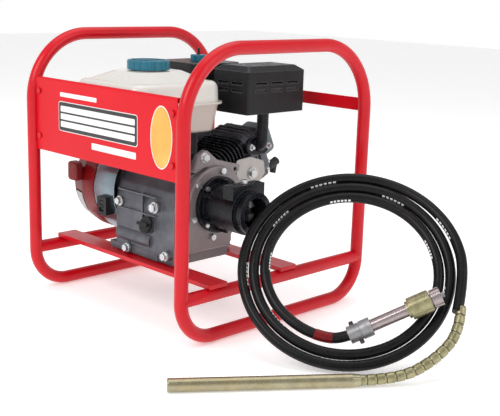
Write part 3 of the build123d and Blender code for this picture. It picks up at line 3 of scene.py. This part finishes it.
import bpy
from mathutils import Matrix, Vector
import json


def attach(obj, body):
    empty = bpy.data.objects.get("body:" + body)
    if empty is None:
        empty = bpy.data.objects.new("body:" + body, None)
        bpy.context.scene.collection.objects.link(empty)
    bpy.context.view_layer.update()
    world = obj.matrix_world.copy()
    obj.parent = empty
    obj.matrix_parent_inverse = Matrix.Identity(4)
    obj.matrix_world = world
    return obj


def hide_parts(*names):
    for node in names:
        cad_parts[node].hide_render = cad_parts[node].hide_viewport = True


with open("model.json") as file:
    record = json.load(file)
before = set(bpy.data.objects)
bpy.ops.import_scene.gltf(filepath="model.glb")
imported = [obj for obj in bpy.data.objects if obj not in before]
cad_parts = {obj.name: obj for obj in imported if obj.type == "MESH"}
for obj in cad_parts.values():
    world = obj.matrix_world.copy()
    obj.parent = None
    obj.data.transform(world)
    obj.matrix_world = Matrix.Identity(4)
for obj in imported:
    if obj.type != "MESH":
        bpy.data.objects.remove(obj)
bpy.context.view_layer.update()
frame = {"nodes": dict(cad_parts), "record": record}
nodes = frame["nodes"]

# ------------------------------------------------------------------ measures
PANEL_FACE_Y = -0.24275
CRANK_Y = -0.068
CRANK_Z = 0.227
HOSE_R = 0.0095
CONDUIT_R = 0.0095
COIL_CENTER = Vector((0.4295, -0.006, 0.155))
COIL_HEADING = math.radians(53)
COIL_LEAN = math.radians(40)
COIL_RIGHT = Vector((math.sin(COIL_HEADING), math.cos(COIL_HEADING), 0))
COIL_FLAT = Vector((math.cos(COIL_HEADING), -math.sin(COIL_HEADING), 0))
COIL_OUT = COIL_FLAT * math.cos(COIL_LEAN) + Vector((0, 0, math.sin(COIL_LEAN)))
COIL_UP = COIL_OUT.cross(COIL_RIGHT)
COIL_TURNS = 2.79
COIL_STEPS = 16
COIL_START = math.radians(-97)
COIL_MIDDLE = (-10.5, -5)
COIL_FIRST_R = (147, 140)
COIL_GROWTH = 20.5
TUBE_SIDES = 28
BARREL = 0.0165
BARREL_STEPS = 12
BARREL_TAPER = 0.0004
GROOVE_DEPTH = 0.0014
DASH_GROUPS = 13.0
TAG_STEP = 0.002
TAG_SPAN = (27, 44)
POKER_TAIL = Vector((0.546, -0.121, 0.0115))
POKER_TIP = Vector((0.361, -0.368, 0.0115))
POKER_WAY = (POKER_TIP - POKER_TAIL).normalized()


def on_coil(u, v, w):
    """Point across, up and out of the coil's leaning plane, given in millimetres."""
    return COIL_CENTER + COIL_RIGHT * u / 1000 + COIL_UP * v / 1000 + COIL_OUT * w / 1000


FIT_START = on_coil(0, -128, 3)
FIT_WAY = (on_coil(156, -52, 36) - FIT_START).normalized()

# -------------------------------------------------------------------- camera
camera = bpy.data.objects.new("camera", bpy.data.cameras.new("camera"))
bpy.context.collection.objects.link(camera)
camera.data.lens = 69.2
camera.data.sensor_width = 36
look_right = Vector((0.69990, 0.71361, 0.02987)).normalized()
look_up = Vector((-0.18039, 0.13616, 0.97412)).normalized()
look_back = look_right.cross(look_up)
camera.matrix_world = Matrix((
    (look_right.x, look_up.x, look_back.x, 1.4615),
    (look_right.y, look_up.y, look_back.y, -1.29815),
    (look_right.z, look_up.z, look_back.z, 0.63666),
    (0, 0, 0, 1),
))
bpy.context.scene.camera = camera


# -------------------------------------------------------------- small helpers
def add_mesh(name, verts, faces, material, body="power_unit", smooth=False):
    mesh = bpy.data.meshes.new(name)
    mesh.from_pydata([tuple(v) for v in verts], [], faces)
    mesh.update()
    if smooth:
        mesh.shade_smooth()
    piece = bpy.data.objects.new(name, mesh)
    bpy.context.collection.objects.link(piece)
    mesh.materials.append(material)
    if body:
        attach(piece, body)
    return piece


def add_curve(name, points, radius, material, body="power_unit", sides=6):
    curve = bpy.data.curves.new(name, "CURVE")
    curve.dimensions = "3D"
    curve.bevel_depth = radius
    curve.bevel_resolution = sides
    curve.resolution_u = 12
    curve.use_fill_caps = True
    spline = curve.splines.new("NURBS")
    spline.points.add(len(points) - 1)
    for point, place in zip(spline.points, points):
        point.co = (*place, 1)
    spline.order_u = 3
    spline.use_endpoint_u = True
    curve.materials.append(material)
    piece = bpy.data.objects.new(name, curve)
    bpy.context.collection.objects.link(piece)
    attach(piece, body)
    return piece


def centre_line(points):
    """Evenly dense points along the NURBS spline through the given control points."""
    curve = bpy.data.curves.new("guide", "CURVE")
    curve.dimensions = "3D"
    curve.resolution_u = 48
    spline = curve.splines.new("NURBS")
    spline.points.add(len(points) - 1)
    for point, place in zip(spline.points, points):
        point.co = (*place, 1)
    spline.order_u = 3
    spline.use_endpoint_u = True
    guide = bpy.data.objects.new("guide", curve)
    mesh = bpy.data.meshes.new_from_object(guide)
    line = [v.co.copy() for v in mesh.vertices]
    bpy.data.objects.remove(guide)
    bpy.data.curves.remove(curve)
    bpy.data.meshes.remove(mesh)
    return line


def along(line, step):
    """Points and directions at equal steps along a line of points."""
    out = []
    run = 0.0
    want = 0.0
    for a, b in zip(line, line[1:]):
        length = (b - a).length
        while length > 0 and want <= run + length:
            out.append((a.lerp(b, (want - run) / length), (b - a).normalized()))
            want += step
        run += length
    out.append((line[-1].copy(), (line[-1] - line[-2]).normalized()))
    return out


def tube(name, stations, radii, material, body="power_unit", sides=TUBE_SIDES):
    """Skin of rings with their own radii, square to a line of stations."""
    side = stations[0][1].orthogonal().normalized()
    verts = []
    for (place, way), radius in zip(stations, radii):
        side = (side - way * side.dot(way)).normalized()
        other = way.cross(side)
        for k in range(sides):
            turn = 2 * math.pi * k / sides
            verts.append(place + (side * math.cos(turn) + other * math.sin(turn)) * radius)
    faces = []
    for ring in range(len(stations) - 1):
        for k in range(sides):
            a = ring * sides + k
            b = ring * sides + (k + 1) % sides
            faces.append((a, b, b + sides, a + sides))
    faces.append(tuple(reversed(range(sides))))
    last = (len(stations) - 1) * sides
    faces.append(tuple(range(last, last + sides)))
    return add_mesh(name, verts, faces, material, body, smooth=True)


# ----------------------------------------------------------------- materials
def ramp(tree, source, stops):
    node = tree.nodes.new("ShaderNodeValToRGB")
    node.color_ramp.elements[0].position = stops[0][0]
    node.color_ramp.elements[0].color = (*stops[0][1], 1)
    node.color_ramp.elements[1].position = stops[-1][0]
    node.color_ramp.elements[1].color = (*stops[-1][1], 1)
    for place, color in stops[1:-1]:
        stop = node.color_ramp.elements.new(place)
        stop.color = (*color, 1)
    tree.links.new(source, node.inputs[0])
    return node.outputs["Color"]


def noise(tree, coords, scale, detail=4.0, rough=0.55):
    node = tree.nodes.new("ShaderNodeTexNoise")
    node.inputs["Scale"].default_value = scale
    node.inputs["Detail"].default_value = detail
    node.inputs["Roughness"].default_value = rough
    tree.links.new(coords, node.inputs["Vector"])
    return node.outputs["Fac"]


def spread(tree, source, low, high, start=0.3, end=0.7):
    node = tree.nodes.new("ShaderNodeMapRange")
    node.inputs["From Min"].default_value = start
    node.inputs["From Max"].default_value = end
    node.inputs["To Min"].default_value = low
    node.inputs["To Max"].default_value = high
    tree.links.new(source, node.inputs["Value"])
    return node.outputs["Result"]


def blend_color(tree, factor, first, second):
    node = tree.nodes.new("ShaderNodeMix")
    node.data_type = "RGBA"
    tree.links.new(factor, node.inputs["Factor"])
    for value, socket in ((first, node.inputs[6]), (second, node.inputs[7])):
        if isinstance(value, tuple):
            socket.default_value = (*value, 1)
        else:
            tree.links.new(value, socket)
    return node.outputs[2]


def surface(name, base, second, rough=0.4, rough_spread=0.08, metal=0.0, mottle=30.0, grain=600.0,
            bump=0.05, coat=0.0, coat_rough=0.08, specular=0.5, edge=None, edge_r=0.0012,
            bands=None):
    """Procedural finish: mottled colour, uneven roughness, fine grain and softened edges, with an edge
    colour that is rubbed wear and, on the black casting, a painted highlight.
    """
    material = bpy.data.materials.new(name)
    material.use_nodes = True
    tree = material.node_tree
    shader = tree.nodes["Principled BSDF"]
    shader.inputs["Metallic"].default_value = metal
    shader.inputs["Coat Weight"].default_value = coat
    shader.inputs["Coat Roughness"].default_value = coat_rough
    shader.inputs["Specular IOR Level"].default_value = specular
    coords = tree.nodes.new("ShaderNodeTexCoord").outputs["Object"]
    cloud = noise(tree, coords, mottle)
    color = ramp(tree, cloud, [(0.3, base), (0.7, second)])
    rounded = tree.nodes.new("ShaderNodeBevel")
    rounded.samples = 4
    rounded.inputs["Radius"].default_value = edge_r
    if bands:
        color = bands(tree, coords, color)
    # edge colour where the rounded normal departs from the true one: rubbed wear, and on the black casting
    # a painted blue highlight
    if edge:
        sharp = tree.nodes.new("ShaderNodeNewGeometry").outputs["Normal"]
        dot = tree.nodes.new("ShaderNodeVectorMath")
        dot.operation = "DOT_PRODUCT"
        tree.links.new(rounded.outputs["Normal"], dot.inputs[0])
        tree.links.new(sharp, dot.inputs[1])
        edge_wear_and_highlight = spread(tree, dot.outputs["Value"], 1.0, 0.0, 0.80, 0.985)
        color = blend_color(tree, edge_wear_and_highlight, color, edge)
    tree.links.new(color, shader.inputs["Base Color"])
    uneven = spread(tree, noise(tree, coords, mottle * 2.3), rough - rough_spread, rough + rough_spread)
    tree.links.new(uneven, shader.inputs["Roughness"])
    relief = tree.nodes.new("ShaderNodeBump")
    relief.inputs["Strength"].default_value = bump
    relief.inputs["Distance"].default_value = 0.001
    tree.links.new(noise(tree, coords, grain, 6.0, 0.6), relief.inputs["Height"])
    tree.links.new(rounded.outputs["Normal"], relief.inputs["Normal"])
    tree.links.new(relief.outputs["Normal"], shader.inputs["Normal"])
    return material


def tank_tone_and_painted_shade(tree, coords, color):
    """Lower pan a warmer, darker cream than the crowned top: partly the pan's own tone, partly painted
    shade.
    """
    height = tree.nodes.new("ShaderNodeSeparateXYZ")
    tree.links.new(coords, height.inputs[0])
    # below the seam: the pan's own tone mixed with painted shade
    low = spread(tree, height.outputs["Z"], 1.0, 0.0, 0.408, 0.418)
    return blend_color(tree, low, color, (0.50, 0.42, 0.37))


def cover_tint(tree, coords, color):
    """The machined side cover is paler and warmer than the crankcase casting."""
    split = tree.nodes.new("ShaderNodeSeparateXYZ")
    tree.links.new(coords, split.inputs[0])
    outer = spread(tree, split.outputs["X"], 0.0, 1.0, 0.1175, 0.1185)
    return blend_color(tree, outer, color, (0.25, 0.22, 0.225))


def joint_tint(tree, coords, color):
    """Dark joints between the conduit's barrels, read from the mesh's own attribute."""
    mark = tree.nodes.new("ShaderNodeAttribute")
    mark.attribute_name = "groove"
    return blend_color(tree, mark.outputs["Fac"], color, (0.025, 0.022, 0.014))


def poker_tint(tree, coords, color):
    """Heat and passivation tones that wander along the tube."""
    tone = noise(tree, coords, 14.0, 2.0, 0.5)
    return blend_color(tree, spread(tree, tone, 0.0, 0.7, 0.4, 0.7), color, (0.34, 0.28, 0.15))


looks = {
    "red_powder": surface("red_powder", (0.60, 0.001, 0.010), (0.52, 0.001, 0.008), 0.34, 0.05,
                          mottle=9, grain=420, bump=0.03, coat=0.15, coat_rough=0.12, specular=0.28),
    "panel_red": surface("panel_red", (0.66, 0.001, 0.011), (0.60, 0.001, 0.009), 0.38, 0.04,
                         mottle=6, grain=420, bump=0.03, coat=0.08, coat_rough=0.15, specular=0.22),
    "zinc_plated": surface("zinc_plated", (0.66, 0.67, 0.68), (0.48, 0.49, 0.50), 0.28, 0.10, metal=0.9,
                           mottle=160, grain=1400, bump=0.05),
    "cast_aluminium": surface("cast_aluminium", (0.13, 0.138, 0.155), (0.078, 0.085, 0.10), 0.42, 0.10,
                              metal=0.45, mottle=38, grain=900, bump=0.22, edge=(0.36, 0.36, 0.38),
                              bands=cover_tint),
    # black casting: the blue edge colour is a painted highlight
    "black_casting": surface("black_casting", (0.004, 0.0045, 0.006), (0.009, 0.010, 0.013), 0.25, 0.08,
                             mottle=45, grain=700, bump=0.30, edge=(0.09, 0.11, 0.15), edge_r=0.0009,
                             specular=0.25),
    "machined_steel": surface("machined_steel", (0.52, 0.52, 0.54), (0.40, 0.40, 0.42), 0.28, 0.06,
                              metal=0.95, mottle=90, grain=1500, bump=0.05),
    "flywheel_iron": surface("flywheel_iron", (0.16, 0.16, 0.17), (0.09, 0.09, 0.10), 0.50, 0.10,
                             metal=0.6, mottle=60, grain=900, bump=0.2),
    "fan_steel": surface("fan_steel", (0.12, 0.18, 0.22), (0.28, 0.34, 0.38), 0.24, 0.05, metal=0.9,
                         mottle=11, grain=500, bump=0.02, edge=(0.7, 0.72, 0.74)),
    "starter_red": surface("starter_red", (0.20, 0.002, 0.004), (0.13, 0.001, 0.003), 0.30, 0.05,
                           mottle=14, grain=500, bump=0.02, coat=0.12, coat_rough=0.08, specular=0.2),
    "grip_red": surface("grip_red", (0.20, 0.003, 0.004), (0.15, 0.002, 0.003), 0.48, 0.08,
                        mottle=50, grain=900, bump=0.10),
    "black_plastic": surface("black_plastic", (0.007, 0.007, 0.008), (0.013, 0.013, 0.014), 0.36, 0.07,
                             specular=0.3, mottle=40, grain=1600, bump=0.10, edge=(0.05, 0.05, 0.055)),
    "teal_plastic": surface("teal_plastic", (0.003, 0.11, 0.17), (0.005, 0.15, 0.22), 0.36, 0.06,
                            mottle=60, grain=1600, bump=0.06, edge=(0.05, 0.42, 0.52)),
    "tank_cream": surface("tank_cream", (0.66, 0.64, 0.60), (0.71, 0.69, 0.65), 0.24, 0.04, mottle=8,
                          grain=420, bump=0.02, coat=0.6, coat_rough=0.08, bands=tank_tone_and_painted_shade),
    "steel_mesh": surface("steel_mesh", (0.45, 0.45, 0.43), (0.25, 0.25, 0.24), 0.4, 0.1, metal=0.8,
                          mottle=900, grain=1500, bump=0.4),
    "foam": surface("foam", (0.035, 0.035, 0.035), (0.07, 0.07, 0.07), 0.9, 0.05, mottle=500,
                    grain=700, bump=0.8),
    "rocker_grey": surface("rocker_grey", (0.12, 0.16, 0.175), (0.095, 0.13, 0.145), 0.36, 0.06,
                           metal=0.2, mottle=24, grain=600, bump=0.06, edge=(0.34, 0.38, 0.40)),
    "guide_grey": surface("guide_grey", (0.48, 0.47, 0.44), (0.40, 0.39, 0.37), 0.36, 0.07, metal=0.2,
                          mottle=26, grain=600, bump=0.05),
    "muffler_black": surface("muffler_black", (0.005, 0.005, 0.006), (0.009, 0.010, 0.012), 0.40, 0.08,
                             specular=0.28, mottle=40, grain=900, bump=0.12, edge=(0.16, 0.18, 0.21),
                             edge_r=0.0018),
    "rusted_steel": surface("rusted_steel", (0.020, 0.018, 0.016), (0.040, 0.033, 0.028), 0.62, 0.12,
                            metal=0.3, mottle=60, grain=700, bump=0.3),
    "plug_porcelain": surface("plug_porcelain", (0.80, 0.79, 0.75), (0.72, 0.71, 0.68), 0.2, 0.04,
                              mottle=40, grain=900, bump=0.02, coat=0.5),
    "rubber_black": surface("rubber_black", (0.018, 0.018, 0.019), (0.030, 0.030, 0.031), 0.62, 0.08,
                            mottle=60, grain=1300, bump=0.18),
    "clamp_casting": surface("clamp_casting", (0.34, 0.34, 0.35), (0.24, 0.24, 0.25), 0.40, 0.08,
                             metal=0.7, mottle=90, grain=900, bump=0.16, edge=(0.66, 0.66, 0.66)),
    "yellow_zinc": surface("yellow_zinc", (0.38, 0.35, 0.20), (0.24, 0.22, 0.12), 0.30, 0.08, metal=0.7,
                           mottle=70, grain=1000, bump=0.08, bands=joint_tint, edge=(0.50, 0.47, 0.32)),
    "sleeve_steel": surface("sleeve_steel", (0.40, 0.34, 0.34), (0.30, 0.25, 0.26), 0.24, 0.05,
                            metal=0.9, mottle=60, grain=900, bump=0.015),
    "poker_steel": surface("poker_steel", (0.42, 0.38, 0.25), (0.30, 0.27, 0.18), 0.26, 0.06, metal=0.85,
                           mottle=50, grain=900, bump=0.05, bands=poker_tint, edge=(0.78, 0.76, 0.66)),
    "black_screw": surface("black_screw", (0.015, 0.015, 0.016), (0.03, 0.03, 0.03), 0.35, 0.08,
                           metal=0.4, mottle=120, grain=1500, bump=0.06, edge=(0.2, 0.2, 0.2)),
    "socket_steel": surface("socket_steel", (0.32, 0.32, 0.33), (0.22, 0.22, 0.23), 0.34, 0.08,
                            metal=0.9, mottle=90, grain=1200, bump=0.08),
}


def hose_look():
    """Wrapped black rubber with pale dashes printed along one side."""
    material = surface("hose_rubber", (0.004, 0.004, 0.0045), (0.008, 0.008, 0.009), 0.30, 0.05, mottle=60,
                       grain=1400, bump=0.10, specular=0.18)
    tree = material.node_tree
    shader = tree.nodes["Principled BSDF"]
    plain = shader.inputs["Base Color"].links[0].from_socket
    split = tree.nodes.new("ShaderNodeSeparateXYZ")
    tree.links.new(tree.nodes.new("ShaderNodeTexCoord").outputs["UV"], split.inputs[0])

    def window(source, centre, half):
        offset = tree.nodes.new("ShaderNodeMath")
        offset.operation = "SUBTRACT"
        tree.links.new(source, offset.inputs[0])
        offset.inputs[1].default_value = centre
        size = tree.nodes.new("ShaderNodeMath")
        size.operation = "ABSOLUTE"
        tree.links.new(offset.outputs[0], size.inputs[0])
        inside = tree.nodes.new("ShaderNodeMath")
        inside.operation = "LESS_THAN"
        tree.links.new(size.outputs[0], inside.inputs[0])
        inside.inputs[1].default_value = half
        return inside.outputs[0]

    def repeat(source, times):
        scaled = tree.nodes.new("ShaderNodeMath")
        scaled.operation = "MULTIPLY"
        tree.links.new(source, scaled.inputs[0])
        scaled.inputs[1].default_value = times
        part = tree.nodes.new("ShaderNodeMath")
        part.operation = "FRACT"
        tree.links.new(scaled.outputs[0], part.inputs[0])
        return part.outputs[0]

    def both(first, second):
        node = tree.nodes.new("ShaderNodeMath")
        node.operation = "MULTIPLY"
        tree.links.new(first, node.inputs[0])
        tree.links.new(second, node.inputs[1])
        return node.outputs[0]

    groups = window(repeat(split.outputs["X"], DASH_GROUPS), 0.5, 0.10)
    sides = window(repeat(split.outputs["Y"], 2.0), 0.5, 0.07)
    single = window(repeat(split.outputs["X"], DASH_GROUPS * 30), 0.5, 0.32)
    dashes = both(both(groups, sides), single)
    tree.links.new(blend_color(tree, dashes, plain, (0.80, 0.80, 0.80)), shader.inputs["Base Color"])
    return material


looks["hose_rubber"] = hose_look()

for part in frame["record"]["subparts"]:
    node = nodes[part["node"]]
    for index in range(len(node.material_slots)):
        node.material_slots[index].link = "OBJECT"
        node.material_slots[index].material = looks[part["material_slot"]]

# --------------------------------------------------------------------- cords
# hose: out of the clamp, then the loose turns growing outwards, rising to the conduit
hose_route = [
    FIT_START + FIT_WAY * 0.026,
    FIT_START - FIT_WAY * 0.008,
    on_coil(-37, -135, 0),
]
steps = int(COIL_TURNS * COIL_STEPS)
for step in range(1, steps + 1):
    turns = COIL_TURNS * step / steps
    angle = COIL_START - 2 * math.pi * turns
    growth = COIL_GROWTH * turns
    lift = 8 * max(0.0, 1 - turns / 0.3)
    rise = 20 * max(0.0, 1 - (COIL_TURNS - turns) / 0.24)
    hose_route.append(on_coil(COIL_MIDDLE[0] + (COIL_FIRST_R[0] + growth) * math.cos(angle),
                              COIL_MIDDLE[1] + (COIL_FIRST_R[1] + growth) * math.sin(angle) + lift, rise))
hose = add_curve("hose", hose_route, HOSE_R, looks["hose_rubber"], sides=8)
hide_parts("hose_coil")

# red sleeve on the hose, just before the clamp
hose_stations = along(centre_line(hose_route), TAG_STEP)[slice(*TAG_SPAN)]
tube("hose_tag", hose_stations, [HOSE_R + 0.0004] * len(hose_stations), looks["starter_red"])

# steel conduit: short barrels that taper into one another, from the hose to the poker
conduit_route = [
    on_coil(186, -66, 19.3),
    on_coil(184, -112, 20),
    on_coil(150, -160, 20),
    POKER_TAIL - POKER_WAY * 0.070,
    POKER_TAIL,
]
conduit_line = centre_line(conduit_route)
stations = along(conduit_line, BARREL / BARREL_STEPS)
radii = []
for count in range(len(stations)):
    part = (count % BARREL_STEPS) / BARREL_STEPS
    groove = GROOVE_DEPTH if count % BARREL_STEPS <= 1 else 0.0
    radii.append(CONDUIT_R - groove - BARREL_TAPER * part)
conduit = tube("conduit", stations, radii, looks["yellow_zinc"])
grooves = conduit.data.attributes.new("groove", "FLOAT", "POINT")
for index, value in enumerate(grooves.data):
    value.value = 1.0 if (index // TUBE_SIDES) % BARREL_STEPS < 1 else 0.0
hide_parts("steel_conduit")


# ------------------------------------------------------------- panel graphics
def flat_look(name, color, second, rough=0.4):
    return surface(name, color, second, rough, 0.05, mottle=40, grain=700, bump=0.04, coat=0.2)


PRINT_T = 0.00025


def rounded_block(x0, x1, z0, z1, r, steps=6):
    """Outline of a block with rounded corners."""
    outline = []
    corners = ((x1 - r, z1 - r, 0), (x0 + r, z1 - r, 90), (x0 + r, z0 + r, 180), (x1 - r, z0 + r, 270))
    for cx, cz, start in corners:
        for k in range(steps + 1):
            turn = math.radians(start + 90 * k / steps)
            outline.append((cx + r * math.cos(turn), cz + r * math.sin(turn)))
    return outline


def printed(name, outline, material, lift=1):
    """Thin printed film on the panel's face."""
    front = [(x, PANEL_FACE_Y - PRINT_T * lift, z) for x, z in outline]
    back = [(x, PANEL_FACE_Y - PRINT_T * (lift - 1) * 0.8, z) for x, z in outline]
    count = len(outline)
    faces = [tuple(reversed(range(count))), tuple(range(count, 2 * count))]
    for k in range(count):
        faces.append((k, (k + 1) % count, count + (k + 1) % count, count + k))
    return add_mesh(name, front + back, faces, material)


print_black = flat_look("print_black", (0.008, 0.008, 0.009), (0.014, 0.014, 0.014), 0.35)
print_white = flat_look("print_white", (0.86, 0.86, 0.85), (0.80, 0.80, 0.79), 0.35)
print_orange = surface("print_orange", (0.90, 0.30, 0.03), (0.93, 0.48, 0.10), 0.35, 0.05, mottle=14,
                       grain=700, bump=0.03, coat=0.2)

printed("print_block_edge", rounded_block(-0.1405, 0.1095, 0.3500, 0.4085, 0.006), print_white, 1)
printed("print_block", rounded_block(-0.1390, 0.1080, 0.3515, 0.4070, 0.005), print_black, 2)
for k in range(3):
    low = 0.3585 + 0.0150 * k
    printed("print_stripe_%d" % k, rounded_block(-0.1330, 0.1020, low, low + 0.0115, 0.002), print_white, 3)
printed("print_bar_top", rounded_block(-0.1350, -0.0145, 0.4175, 0.4260, 0.0015), print_white, 1)
printed("print_bar_low", rounded_block(-0.0310, 0.1050, 0.3270, 0.3395, 0.002), print_white, 1)


def oval(cx, cz, rx, rz, count=40):
    return [(cx + rx * math.cos(2 * math.pi * k / count), cz + rz * math.sin(2 * math.pi * k / count))
            for k in range(count)]


printed("print_oval_edge", oval(0.1760, 0.3765, 0.0300, 0.0560), print_white, 1)
printed("print_oval", oval(0.1760, 0.3765, 0.0280, 0.0540), print_orange, 2)

# ------------------------------------------------------------ starter details
label_look = surface("label_foil", (0.42, 0.42, 0.42), (0.34, 0.34, 0.35), 0.35, 0.05, metal=0.4,
                     mottle=60, grain=900, bump=0.05)

def round_label(name, rims, low, high, material, rows=10):
    """Thin label wrapped on a tapered drum about the crankshaft; angles in degrees below the front."""
    verts = []
    faces = []
    for k in range(rows + 1):
        turn = math.radians(180 + low + (high - low) * k / rows)
        for x, radius in rims:
            for r in (radius, radius + 0.0006):
                verts.append((x, CRANK_Y + r * math.cos(turn), CRANK_Z + r * math.sin(turn)))
    for k in range(rows):
        a = 4 * k
        faces += [(a + 1, a + 3, a + 7, a + 5), (a, a + 4, a + 6, a + 2),
                  (a, a + 1, a + 5, a + 4), (a + 2, a + 6, a + 7, a + 3)]
    faces += [(0, 2, 3, 1), (4 * rows, 4 * rows + 1, 4 * rows + 3, 4 * rows + 2)]
    return add_mesh(name, verts, faces, material)


round_label("starter_label", ((-0.203, 0.0937), (-0.175, 0.0998)), 11, 35, label_look)

# --------------------------------------------------------------------- stage
floor_look = surface("floor_white", (0.96, 0.96, 0.96), (0.98, 0.98, 0.98), 0.6, 0.05, mottle=2,
                     grain=200, bump=0.01)
floor_shader = floor_look.node_tree.nodes["Principled BSDF"]
floor_shader.inputs["Emission Color"].default_value = (1, 1, 1, 1)
floor_shader.inputs["Emission Strength"].default_value = 0.34
floor = add_mesh("floor", [(-9, -9, -0.0006), (9, -9, -0.0006), (9, 9, -0.0006), (-9, 9, -0.0006)],
                 [(0, 1, 2, 3)], floor_look, body=None)


def area_light(name, place, target, size, power):
    light = bpy.data.lights.new(name, "AREA")
    light.shape = "RECTANGLE"
    light.size = size[0]
    light.size_y = size[1]
    light.energy = power
    lamp = bpy.data.objects.new(name, light)
    bpy.context.collection.objects.link(lamp)
    lamp.location = place
    lamp.rotation_euler = (Vector(target) - Vector(place)).to_track_quat("-Z", "Y").to_euler()


area_light("key", (0.2, -2.4, 2.2), (0, 0, 0.25), (1.6, 1.6), 42)
area_light("fill", (2.6, 0.6, 1.5), (0.1, 0, 0.25), (1.4, 2.0), 14)
area_light("top", (0, 0.4, 2.8), (0, 0, 0.2), (2.4, 2.4), 26)
world = bpy.data.worlds.new("studio")
world.use_nodes = True
sky = world.node_tree
height = sky.nodes.new("ShaderNodeSeparateXYZ")
sky.links.new(sky.nodes.new("ShaderNodeTexCoord").outputs["Generated"], height.inputs[0])
sky.nodes["Background"].inputs["Color"].default_value = (1, 1, 1, 1)
dimmed = spread(sky, height.outputs["Z"], 1.0, 0.5, 0.20, 0.45)
sky.links.new(dimmed, sky.nodes["Background"].inputs["Strength"])
bpy.context.scene.world = world
bpy.context.scene.view_settings.view_transform = "Standard"
